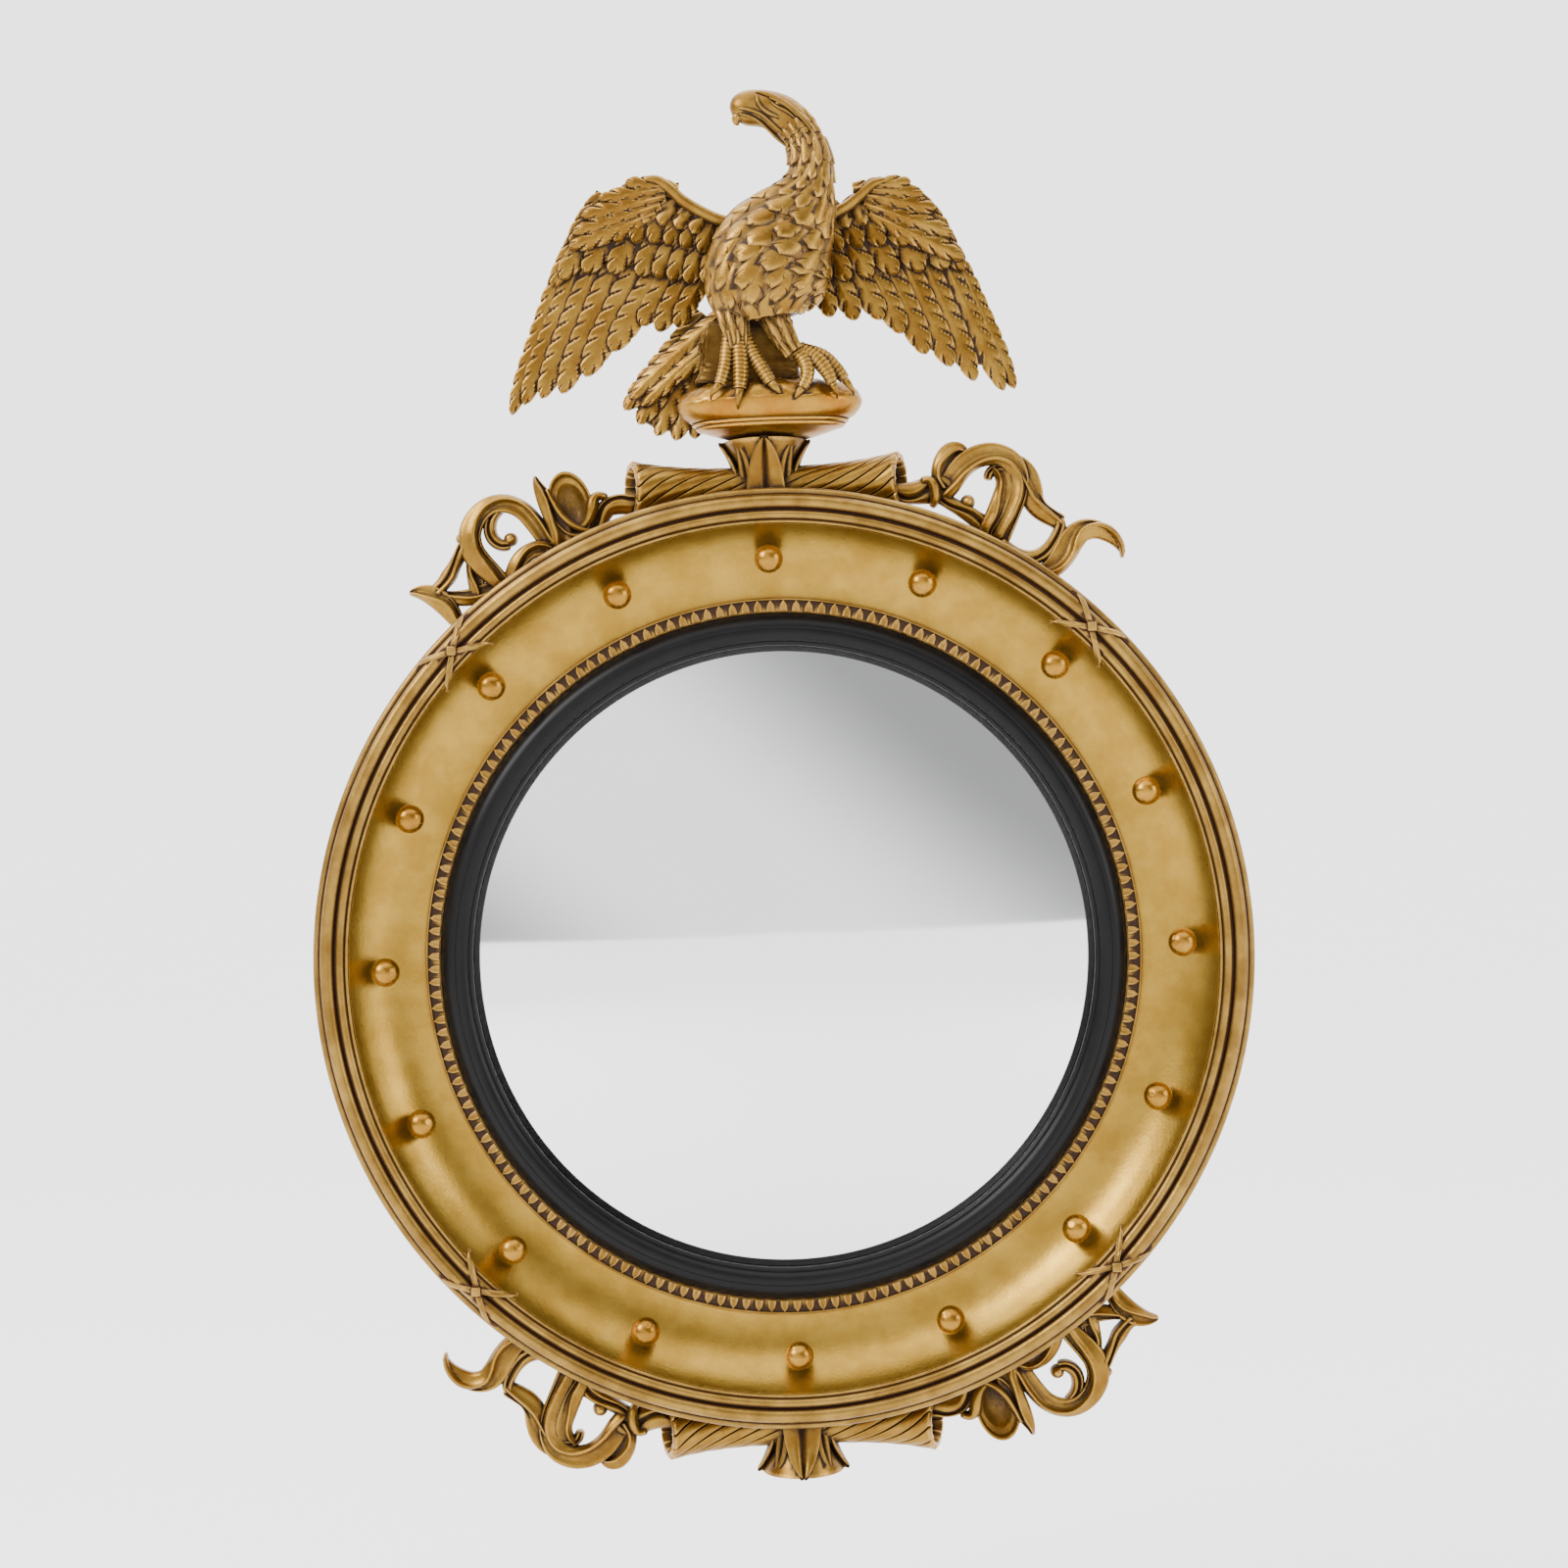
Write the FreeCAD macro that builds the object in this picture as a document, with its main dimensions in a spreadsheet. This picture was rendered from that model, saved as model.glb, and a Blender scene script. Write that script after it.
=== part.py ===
import FreeCAD, Part
import math
import os
import sys

import Sketcher
from FreeCAD import Placement, Rotation, Vector

# A convex wall mirror: round gilt frame, sixteen balls in a cove, an eagle crest and a pendant.
# Origin: the mirror's centre, on the wall. +X is the viewer's right, +Z is up and the front faces -Y.
# "Depth" is the distance forward from the wall, so a depth of 40 lies at Y = -40.

SIZES = [
    # the rings, as widths outward from the visible glass
    ("sight_radius", 227.0, "edge of the visible glass"),
    ("slip_width", 24.2, "black slip"),
    ("leaf_width", 11.3, "band of leaf tips"),
    ("cove_width", 51.4, "gold cove that holds the balls"),
    ("reed_width", 26.1, "three reeds at the outer edge"),
    ("rim_overhang", 10.0, "reeded rim beyond the back ring"),
    ("fit", 0.3, "clearance between curved mating faces"),
    # the rings, as depths from the wall
    ("pad_depth", 6.0, "wall pads, so the frame's back stands this far off the wall"),
    ("ring_depth", 34.0, "thickness of the back ring"),
    ("ring_width", 90.0, "width of the back ring"),
    ("leaf_seat", 6.0, "cove ring behind the band of leaf tips"),
    ("leaf_depth", 4.0, "thickness of the band of leaf tips"),
    ("cove_rise", 34.0, "how far the cove climbs towards the reeds"),
    ("reed_back", 22.0, "back of the reeded rim, forward of the back ring"),
    ("reed_height", 3.6, "height of the reeds above the cove's edge"),
    ("slip_rise", 11.0, "crown of the black slip above the leaf band"),
    # the glass and what holds it
    ("glass_cover", 9.0, "glass hidden under the slip's lip"),
    ("glass_rise", 38.0, "bulge of the convex glass"),
    ("glass_thick", 4.0, "thickness of the glass"),
    ("glass_setback", 6.0, "front edge of the glass, forward of the back ring"),
    ("board_thick", 5.0, "backboard"),
    ("board_rebate", 18.0, "width of the backboard's rebate"),
    ("block_length", 44.0, "each glazing block along the ring"),
    ("block_width", 15.0, "each glazing block across the ring"),
    # the balls
    ("ball_radius", 10.5, "gilt balls"),
    ("ball_slope", 37.0, "angle of a ball's seat up the cove, in degrees"),
    ("spigot_radius", 2.2, "spigot turned on each ball"),
    ("spigot_length", 10.0, "spigot inside the cove ring"),
    # ribbon ties over the reeds
    ("tie_width", 7.0, "flat ribbon"),
    ("tie_spread", 22.0, "half spread of the crossed ribbons along the rim"),
    ("tie_thick", 2.0, "ribbon thickness"),
    ("boss_width", 6.5, "square boss where the ribbons cross"),
    # crest and pendant
    ("crest_depth", 40.0, "centre of torches and scrolls, from the wall"),
    ("socket_half", 17.0, "half width of the leaf socket at the torches"),
    ("socket_height", 38.0, "leaf socket above the rim"),
    ("socket_flare", 30.5, "half width of the socket's open top"),
    ("torch_axis", 6.0, "torch axis above the rim at the socket"),
    ("torch_length", 80.0, "spiral torch"),
    ("torch_root", 13.0, "torch radius at the socket"),
    ("torch_mouth", 20.0, "torch radius at its mouth"),
    ("mouth_bore", 14.0, "hollow of the torch's mouth"),
    ("mouth_hollow", 8.0, "depth of that hollow"),
    ("peg_radius", 5.0, "turned peg that joins a torch to the socket"),
    ("peg_length", 9.0, "length of that peg in the socket"),
    ("scroll_depth", 12.0, "half thickness of the carved scrolls"),
    ("strap_width", 26.0, "iron strap behind the crest and pendant"),
    ("strap_thick", 3.0, "strap thickness"),
    ("strap_lap", 44.0, "strap's lap on the back ring"),
    ("crest_strap_reach", 80.0, "crest strap above the back ring"),
    ("pendant_strap_reach", 44.0, "pendant strap below the back ring"),
    # perch and eagle
    ("perch_centre", 5.0, "perch and stump, right of the middle"),
    ("perch_depth", 44.0, "centre of the perch, from the wall"),
    ("perch_half", 68.0, "half width of the perch"),
    ("perch_height", 42.0, "perch from the socket to its rocky top"),
    ("stump_height", 46.0, "stump from the perch to the eagle"),
    ("stump_thick", 20.0, "stump, front to back"),
    ("eagle_plane", 36.0, "flat back of the eagle's body, from the wall"),
    ("eagle_depth", 62.0, "centre of the eagle's body, from the wall"),
    ("wing_back", 22.0, "back of the wings, from the wall"),
    ("wing_plate", 6.0, "one layer of wing feathers"),
    ("tail_thick", 12.0, "tail, front to back"),
    ("dowel_radius", 5.0, "dowel through the stump"),
    ("dowel_sink", 22.0, "dowel inside the perch and inside the body"),
    # hangers, buttons, pads and screws
    ("hanger_angle", 60.0, "hangers, in degrees from the top"),
    ("hanger_rise", 18.0, "barrel of a hanger above the ring's middle line"),
    ("plate_width", 14.0, "hanger plate"),
    ("plate_length", 48.0, "hanger plate below its barrel"),
    ("plate_thick", 1.2, "hanger plate thickness"),
    ("plate_hole", 9.0, "screw holes from each end of the hanger plate"),
    ("wire_radius", 1.5, "wire of the hanging ring"),
    ("loop_half", 12.5, "half width of the hanging ring, on the wire's centre"),
    ("loop_leg", 5.0, "straight leg of the hanging ring"),
    ("running_fit", 0.1, "clearance round moving pins"),
    ("button_half", 16.0, "half length of a turn button"),
    ("button_width", 12.0, "turn button"),
    ("button_thick", 2.5, "turn button thickness"),
    ("button_bite", 7.5, "turn button's lap on the backboard"),
    ("pad_radius", 10.0, "felt wall pads"),
    ("pad_angle", 35.0, "pads, in degrees from the top and the bottom"),
    ("shank_radius", 1.8, "wood screws"),
    ("head_radius", 3.4, "screw heads"),
    ("head_height", 1.4, "screw heads"),
    ("screw_length", 18.0, "wood screws under the head"),
]

BALL_COUNT = 16
BLOCK_COUNT = 8
TIE_ANGLES = {"ribbon_tie_1": 45, "ribbon_tie_2": 135, "ribbon_tie_3": 225, "ribbon_tie_4": 315}
BUTTON_ANGLES = {"turn_button_1": 45, "turn_button_2": 135, "turn_button_3": 225, "turn_button_4": 315}
FRONT = Rotation(Vector(0, 0, 1), 180)
UPSIDE_DOWN = Rotation(Vector(0, 1, 0), 180)
SCROLL_ANGLE = 28
THIN_SHARE = 0.6
OVERCUT = 1.0


class Measure:
    """A size that knows both its number and its formula on the sheet."""

    def __init__(self, number, formula):
        self.number = number
        self.formula = formula

    def __add__(self, other):
        other = measured(other)
        return Measure(self.number + other.number, f"({self.formula} + {other.formula})")

    def __sub__(self, other):
        other = measured(other)
        return Measure(self.number - other.number, f"({self.formula} - {other.formula})")

    def __mul__(self, other):
        other = measured(other)
        return Measure(self.number * other.number, f"({self.formula} * {other.formula})")

    def __truediv__(self, other):
        other = measured(other)
        return Measure(self.number / other.number, f"({self.formula} / {other.formula})")

    def __neg__(self):
        return Measure(-self.number, f"(0 - {self.formula})")


def measured(value):
    return value if isinstance(value, Measure) else Measure(float(value), repr(float(value)))


def sine(angle):
    return Measure(math.sin(math.radians(angle.number)), f"sin({angle.formula} * 1 deg)")


def cosine(angle):
    return Measure(math.cos(math.radians(angle.number)), f"cos({angle.formula} * 1 deg)")


doc = FreeCAD.newDocument("convex_mirror")
sheet = doc.addObject("Spreadsheet::Sheet", "Sizes")
size = {}
for row, (name, number, note) in enumerate(SIZES, start=1):
    sheet.set(f"A{row}", name)
    sheet.set(f"B{row}", str(number))
    sheet.set(f"C{row}", note)
    sheet.setAlias(f"B{row}", name)
    size[name] = Measure(number, f"Sizes.{name}")
doc.recompute()

parts = {}

# ---------------------------------------------------------------- sizes that follow from others

slip_edge = size["sight_radius"] + size["slip_width"]
leaf_edge = slip_edge + size["leaf_width"]
cove_edge = leaf_edge + size["cove_width"]
rim_edge = cove_edge + size["reed_width"]
ring_edge = rim_edge - size["rim_overhang"]
ring_bore = ring_edge - size["ring_width"]
ring_middle = (ring_edge + ring_bore) / 2
rear = size["pad_depth"]
ring_front = rear + size["ring_depth"]
leaf_seat = ring_front + size["leaf_seat"]
leaf_front = leaf_seat + size["leaf_depth"]
cove_crest = leaf_seat + size["cove_rise"]
reed_back = ring_front + size["reed_back"]
reed_front = cove_crest + size["reed_height"]
cove_radius = (size["cove_width"] * size["cove_width"] + size["cove_rise"] * size["cove_rise"]) / (
    size["cove_rise"] * 2)
glass_edge = size["sight_radius"] + size["glass_cover"]
glass_rim = ring_front + size["glass_setback"]
glass_pole = glass_rim + size["glass_rise"]
glass_curve = (glass_edge * glass_edge + size["glass_rise"] * size["glass_rise"]) / (size["glass_rise"] * 2)
board_radius = ring_bore + size["board_rebate"]
button_circle = board_radius - size["fit"] + size["button_half"] - size["button_bite"]
perch_foot = rim_edge + size["socket_height"]
perch_top = perch_foot + size["perch_height"]
eagle_foot = perch_top + size["stump_height"]
RIM = rim_edge.number
BACK = rear.number
BASE = ring_edge.number + size["fit"].number
PERCH_FOOT = perch_foot.number
PERCH_TOP = perch_top.number
EAGLE_FOOT = eagle_foot.number
FIT = size["fit"].number


def mm(name):
    return size[name].number


def glass_depth(radius):
    """Depth of the glass's front face at a radius."""
    bulge = glass_curve.number
    return glass_pole.number - bulge + math.sqrt(bulge ** 2 - radius ** 2)


# ---------------------------------------------------------------- building helpers


def place(owner, x=0.0, y=0.0, z=0.0, turn=Rotation()):
    """Set a placement whose base follows the sheet."""
    spot = [measured(x), measured(y), measured(z)]
    owner.Placement = Placement(Vector(*[value.number for value in spot]), turn)
    for axis, value in zip("xyz", spot):
        owner.setExpression(f"Placement.Base.{axis}", value.formula)


def keep(owner, label):
    owner.Label = label
    parts[label] = owner
    return owner


def carved(label, shape, angle=None, turn=Rotation(), lift=0.0):
    """A freely carved piece. With an angle, in degrees from the top, it follows the rim on the sheet."""
    owner = doc.addObject("Part::Feature", label)
    owner.Shape = shape
    if angle is not None:
        spread = rim_edge - RIM
        across, up = math.sin(math.radians(angle)), math.cos(math.radians(angle))
        place(owner, spread * across, 0, spread * up + lift, turn)
    return keep(owner, label)


def draw_edge(sketch, start, finish, bend):
    """Add one edge and return its number with the ends that meet start and finish."""
    first, last = Vector(start[0], start[1], 0), Vector(finish[0], finish[1], 0)
    if bend is None:
        return sketch.addGeometry(Part.LineSegment(first, last)), 1, 2
    chord = last - first
    radius = abs(bend)
    rise = math.sqrt(radius ** 2 - (chord.Length / 2) ** 2)
    side = Vector(-chord.y, chord.x, 0).normalize() * math.copysign(rise, bend)
    centre = (first + last) / 2 + side
    ends = [first, last] if bend > 0 else [last, first]
    angles = [math.atan2(end.y - centre.y, end.x - centre.x) for end in ends]
    circle = Part.Circle(centre, Vector(0, 0, 1), radius)
    number = sketch.addGeometry(Part.ArcOfCircle(circle, angles[0], angles[1]))
    return (number, 1, 2) if bend > 0 else (number, 2, 1)


def section_sketch(body, label, corners):
    """Sketch a section. A corner is (radius, depth) or (radius, depth, bend of the edge that leaves it)."""
    sketch = body.newObject("Sketcher::SketchObject", label + "_section")
    plane = [item for item in body.Origin.OriginFeatures if item.Role == "XY_Plane"][0]
    sketch.AttachmentSupport = [(plane, "")]
    sketch.MapMode = "FlatFace"
    corners = [tuple(measured(value) for value in corner) for corner in corners]
    edges = []
    for index, corner in enumerate(corners):
        after = corners[(index + 1) % len(corners)]
        bend = corner[2].number if len(corner) == 3 else None
        spots = [(point[0].number, point[1].number) for point in (corner, after)]
        edges.append(draw_edge(sketch, spots[0], spots[1], bend))
    for index, corner in enumerate(corners):
        edge, start, _ = edges[index]
        before, _, finish = edges[index - 1]
        sketch.addConstraint(Sketcher.Constraint("Coincident", before, finish, edge, start))
        for kind, value, axis in (("DistanceX", corner[0], -2), ("DistanceY", corner[1], -1)):
            if abs(value.number) < 1e-9:
                sketch.addConstraint(Sketcher.Constraint("PointOnObject", edge, start, axis))
                continue
            number = sketch.addConstraint(Sketcher.Constraint(kind, -1, 1, edge, start, value.number))
            sketch.setExpression(f"Constraints[{number}]", value.formula)
        if len(corner) == 3:
            radius = corner[2] if corner[2].number > 0 else -corner[2]
            number = sketch.addConstraint(Sketcher.Constraint("Radius", edge, radius.number))
            sketch.setExpression(f"Constraints[{number}]", radius.formula)
    return sketch


def turned(label, corners):
    """Turn a section about the mirror's axis."""
    body = doc.addObject("PartDesign::Body", label)
    sketch = section_sketch(body, label, corners)
    ring = body.newObject("PartDesign::Revolution", label + "_turned")
    ring.Profile = sketch
    ring.ReferenceAxis = (sketch, ["V_Axis"])
    ring.Angle = 360
    sketch.Visibility = False
    body.Placement = Placement(Vector(), FRONT)
    return body


def rod(label, radius, length, x, y, z, turn=Rotation()):
    cylinder = doc.addObject("Part::Cylinder", label)
    cylinder.setExpression("Radius", measured(radius).formula)
    cylinder.setExpression("Height", measured(length).formula)
    place(cylinder, x, y, z, turn)
    return cylinder


def slab(label, width, thick, height, x, y, z, turn=Rotation()):
    box = doc.addObject("Part::Box", label)
    for side, value in (("Length", width), ("Width", thick), ("Height", height)):
        box.setExpression(side, measured(value).formula)
    place(box, x, y, z, turn)
    return box


def joined(label, shapes):
    fuse = doc.addObject("Part::MultiFuse", label)
    fuse.Shapes = shapes
    return fuse


def less(label, base, tool):
    cut = doc.addObject("Part::Cut", label)
    cut.Base = base
    cut.Tool = tool
    return cut


def along_y(forward=True):
    """Turn a cylinder to run towards the viewer, or towards the wall."""
    return Rotation(Vector(1, 0, 0), 90 if forward else -90)


# ---------------------------------------------------------------- turned rings, glass and backboard

plain_ring = turned("back_ring_turned", [
    (ring_bore, rear + size["board_thick"]),
    (board_radius, rear + size["board_thick"]),
    (board_radius, rear),
    (ring_edge, rear),
    (ring_edge, ring_front),
    (ring_bore, ring_front),
])

cove_bore = slip_edge + size["fit"]
ball_room = size["ball_radius"] + size["fit"]
ball_ring = leaf_edge + (cove_radius - ball_room) * sine(size["ball_slope"])
ball_depth = leaf_seat + cove_radius - (cove_radius - ball_room) * cosine(size["ball_slope"])
plain_cove = turned("cove_ring_turned", [
    (cove_bore, ring_front),
    (ring_edge, ring_front),
    (ring_edge, reed_back),
    (cove_edge, reed_back),
    (cove_edge, cove_crest, -cove_radius),
    (leaf_edge, leaf_seat),
    (cove_bore, leaf_seat),
])

bead = size["reed_width"] / 6
reed_inside = cove_edge + size["fit"]
groove = bead * 0.18
inner_bead = rim_edge - bead * 4
middle_bead = rim_edge - bead - groove


def crown(chord, rise):
    """Radius of an arc with this chord and rise."""
    return (chord * chord / 4 + rise * rise) / (rise * 2)


keep(turned("reeded_rim", [
    (reed_inside, reed_back + size["fit"]),
    (rim_edge - 2, reed_back + size["fit"]),
    (rim_edge, reed_back + 3),
    (rim_edge, cove_crest - bead * 1.6, bead * 0.8),
    (rim_edge - bead, cove_crest - bead * 0.6),
    (middle_bead, cove_crest, crown(bead * 2.3, size["reed_height"])),
    (middle_bead - bead * 2.3, cove_crest),
    (inner_bead + groove, cove_crest - bead * 0.3),
    (inner_bead, cove_crest, crown(inner_bead - reed_inside, size["reed_height"])),
    (reed_inside, cove_crest),
]), "reeded_rim")

keep(turned("leaf_tip_band", [
    (cove_bore, leaf_seat),
    (leaf_edge - size["fit"], leaf_seat),
    (leaf_edge - size["fit"], leaf_front + 1),
    (leaf_edge - 2, leaf_front + 1),
    (leaf_edge - 2.4, leaf_front - 0.6),
    (cove_bore + 1.6, leaf_front),
    (cove_bore, leaf_front - 1),
]), "leaf_tip_band")

seat_edge = glass_edge + size["fit"]
sight = size["sight_radius"]
keep(turned("ebonised_slip", [
    (sight, glass_rim + size["glass_cover"] * 0.36),
    (seat_edge, glass_rim + size["fit"] * 1.4),
    (seat_edge, ring_front),
    (slip_edge, ring_front),
    (slip_edge, leaf_front),
    (slip_edge - size["slip_width"] * 0.2, leaf_front + size["slip_rise"] * 0.72),
    (slip_edge - size["slip_width"] * 0.62, leaf_front + size["slip_rise"]),
    (sight + 7, leaf_front + size["slip_rise"]),
    (sight + 3, leaf_front + size["slip_rise"] * 0.55),
    (sight, leaf_front + size["slip_rise"] * 0.36),
]), "ebonised_slip")

pole_flat = size["glass_thick"] / 2
keep(turned("convex_glass", [
    (0, glass_pole - size["glass_thick"]),
    (0, glass_pole),
    (pole_flat, glass_pole, -glass_curve),
    (glass_edge, glass_rim),
    (glass_edge, glass_rim - size["glass_thick"] * 1.06, glass_curve),
    (pole_flat, glass_pole - size["glass_thick"]),
]), "convex_glass")

keep(turned("backboard", [
    (0, rear),
    (board_radius - size["fit"], rear),
    (board_radius - size["fit"], rear + size["board_thick"]),
    (0, rear + size["board_thick"]),
]), "backboard")


def glazing_blocks():
    """Softwood blocks that press the glass's rim forward against the slip."""
    outer = ring_bore.number - FIT
    inner = outer - mm("block_width")
    floor = BACK + mm("board_thick") + FIT
    behind = mm("glass_thick") * 1.06 + FIT
    shoulder = ring_front.number - FIT
    corners = [(outer, floor), (outer, shoulder), (glass_edge.number, shoulder)]
    corners += [(glass_edge.number, glass_rim.number - behind - FIT / 2)]
    corners += [(inner, glass_depth(inner) - behind - FIT), (inner, floor)]
    wire = Part.makePolygon([Vector(r, -depth, 0) for r, depth in corners + corners[:1]])
    sweep = math.degrees(mm("block_length") / outer)
    block = Part.Face(wire).revolve(Vector(), Vector(0, 1, 0), sweep)
    block.rotate(Vector(), Vector(0, 1, 0), -sweep / 2)
    turns = [360 / BLOCK_COUNT * (index + 0.5) for index in range(BLOCK_COUNT)]
    return Part.makeCompound([block.rotated(Vector(), Vector(0, 1, 0), turn) for turn in turns])


carved("glazing_blocks", glazing_blocks())

# ---------------------------------------------------------------- balls and their sockets in the cove

seats = []
for index in range(BALL_COUNT):
    turn = 360 / BALL_COUNT * index
    across, up = math.sin(math.radians(turn)), math.cos(math.radians(turn))
    sink = Rotation(Vector(0, 1, 0), turn) * Rotation(Vector(1, 0, 0), -(90 - mm("ball_slope")))
    centre = (ball_ring * across, -ball_depth, ball_ring * up)
    ball = doc.addObject("Part::Sphere", f"ball_{index + 1:02d}_round")
    ball.setExpression("Radius", size["ball_radius"].formula)
    place(ball, *centre)
    reach = ball_room + size["spigot_length"]
    spigot = rod(f"ball_{index + 1:02d}_spigot", size["spigot_radius"], reach, *centre, turn=sink)
    keep(joined(f"ball_{index + 1:02d}", [ball, spigot]), f"ball_{index + 1:02d}")
    hole = rod(f"ball_{index + 1:02d}_hole", size["spigot_radius"] + size["running_fit"],
               reach + size["fit"], *centre, turn=sink)
    seats.append(hole)
keep(less("cove_ring", plain_cove, joined("ball_seats", seats)), "cove_ring")

# ---------------------------------------------------------------- ribbon ties crossed over the reeds


def ribbon_tie():
    """Two flat ribbons crossed over the reeds at the top of the rim, with a square boss."""
    inner, outer = cove_edge.number, RIM
    front = reed_front.number + FIT
    thick = mm("tie_thick")
    hug = [(inner - 0.5, front - 3.4), (inner + 1.5, front), (outer - 6, front), (outer + FIT, front - 6.5)]
    hug += [(outer + FIT, front - 12), (outer + FIT + thick, front - 12), (outer + FIT + thick, front - 6)]
    hug += [(outer - 5, front + thick), (inner + 0.5, front + thick), (inner - 1.5, front - 3)]
    wire = Part.makePolygon([Vector(r, -depth, 0) for r, depth in hug + hug[:1]])
    reach = mm("tie_spread") + mm("tie_width")
    sweep = math.degrees(reach / inner)
    sleeve = Part.Face(wire).revolve(Vector(), Vector(0, 1, 0), 2 * sweep)
    sleeve.rotate(Vector(), Vector(0, 1, 0), -90 - sweep)
    middle = Vector(0, 0, (inner + outer) / 2)
    half = (outer - inner) / 2 + 4
    slant = math.degrees(math.atan2(mm("tie_spread"), half))
    bars = []
    for side in (-1, 1):
        long = 2 * math.hypot(half, mm("tie_spread")) + mm("tie_width")
        bar = Part.makeBox(mm("tie_width"), 60, long, Vector(-mm("tie_width") / 2, -front - 20, -long / 2))
        bar.rotate(Vector(), Vector(0, 1, 0), side * slant)
        bar.translate(middle)
        bars.append(bar)
    ribbon = sleeve.common(bars[0].fuse(bars[1]))
    boss = Part.makeBox(mm("boss_width"), thick * 2, mm("boss_width"))
    boss.translate(Vector(-mm("boss_width") / 2, -front - thick * 2, -mm("boss_width") / 2))
    boss.rotate(Vector(), Vector(0, 1, 0), 45)
    boss.translate(middle)
    return ribbon.fuse(boss).removeSplitter()


tie_shape = ribbon_tie()
for label, angle in TIE_ANGLES.items():
    carved(label, tie_shape.copy(), angle, Rotation(Vector(0, 1, 0), angle))

# ---------------------------------------------------------------- carved forms


def oval(spot, along, half_width, half_depth):
    """An oval section, square to a direction that lies parallel to the wall."""
    if abs(half_width - half_depth) < 0.001:
        return Part.Wire([Part.makeCircle(half_width, spot, along)])
    across = Vector(-along.z, 0, along.x).normalize() * half_width
    deep = Vector(0, half_depth, 0)
    long, short = (across, deep) if half_width >= half_depth else (deep, across)
    return Part.Wire([Part.Ellipse(spot + long, spot + short, spot).toShape()])


def limb(stations):
    """A rounded limb through stations of (x, z, half width, depth from the wall, half depth)."""
    spots = [Vector(x, -depth, z) for x, z, _, depth, _ in stations]
    rings = []
    for index, (_, _, half_width, _, half_depth) in enumerate(stations):
        along = spots[min(index + 1, len(spots) - 1)] - spots[max(index - 1, 0)]
        along.y = 0
        rings.append(oval(spots[index], along, half_width, half_depth))
    return Part.makeLoft(rings, True, False)


def on_rim(along, above):
    """A point this far along the rim from its top, and this far above it."""
    angle = along / RIM
    return (RIM + above) * math.sin(angle), (RIM + above) * math.cos(angle)


def strand(route, side):
    """A carved strand of a scroll, through (along the rim, above the rim, half width, and any half depth)."""
    stations = []
    for along, above, half_width, *stated in route:
        x, z = on_rim(along, above)
        full = mm("scroll_depth") * min(1.0, THIN_SHARE + half_width / 20)
        half_depth = stated[0] if stated else max(full, half_width)
        stations.append((side * x, z, half_width, mm("crest_depth"), half_depth))
    return limb(stations)


def boss(along, above, radius, side):
    """A round bead or dished leaf on a scroll."""
    x, z = on_rim(along, above)
    thick = mm("scroll_depth") + 1
    front = Vector(side * x, -mm("crest_depth") - thick, z)
    disc = Part.makeCylinder(radius, 2 * thick, front, Vector(0, 1, 0))
    return disc.makeFillet(min(radius, thick) * 0.6, disc.Edges)


def rim_foot(first, last, side):
    """The flat foot that seats a scroll on the back ring, hidden behind the reeded rim."""
    height = mm("rim_overhang") - 2 * FIT
    low = mm("crest_depth") - mm("scroll_depth") * 0.8
    high = mm("crest_depth") + mm("scroll_depth") * 0.8
    corners = [(BASE, low), (BASE + height, low), (BASE + height, high), (BASE, high)]
    wire = Part.makePolygon([Vector(r, -depth, 0) for r, depth in corners + corners[:1]])
    sweep = math.degrees((last - first) / RIM)
    foot = Part.Face(wire).revolve(Vector(), Vector(0, 1, 0), sweep)
    foot.rotate(Vector(), Vector(0, 1, 0), -90 + math.degrees(first / RIM))
    return foot if side > 0 else foot.mirror(Vector(), Vector(1, 0, 0))


def united(solids):
    whole = solids[0].multiFuse(solids[1:]) if len(solids) > 1 else solids[0]
    if len(whole.Solids) != 1:
        sys.exit(f"a carved piece came out as {len(whole.Solids)} solids")
    return whole.Solids[0]


# Each scroll is a few strands, and a strand is (distance along the rim, height above it, half width).
# A stem begins inside its torch's mouth, so it is thinner there, and its half depth is stated.
CURLED_SCROLL = {
    "stem": [(91, 12.5, 4.5, 6), (97, 12.5, 5.5, 9), (103, 15, 5.5), (117, 14, 6.5), (129, 10, 6.5),
             (142, 8, 6), (152, 7, 5)],
    "leaf": [(142, 60, 2), (148, 46, 6), (150, 32, 7), (151, 17, 6.5), (149, 3, 5)],
    "arch": [(158, 3, 7), (160, 14, 6), (161, 28, 5.5), (165, 44, 5), (173, 54, 5), (182, 55.5, 5),
             (192, 51, 5), (199, 42, 5.5), (202, 30, 6), (202, 18, 6), (203, 5, 6.5)],
    "volute": [(178, 53, 3.5), (185, 45, 4), (188, 36, 4), (185, 27, 4), (179, 25, 4.5), (174, 29, 5)],
    "bridge": [(157, 2, 6), (168, 8, 4), (176, 12, 4), (184, 13, 4), (193, 9, 4), (204, 1, 6)],
    "branch": [(197, 42, 5), (207, 41, 6), (216, 39, 6), (227, 36, 6), (239, 33, 6.5), (249, 31, 6)],
    "curl": [(257, 42, 3.5), (250, 35, 6.5), (248, 25, 7), (249, 15, 6.5), (250, 5, 5), (249, -4, 4)],
    "rim_leaf": [(243, 26, 3), (239, 16, 5), (230, 10, 5.5), (219, 8, 5.5), (207, 3, 6)],
}
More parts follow.
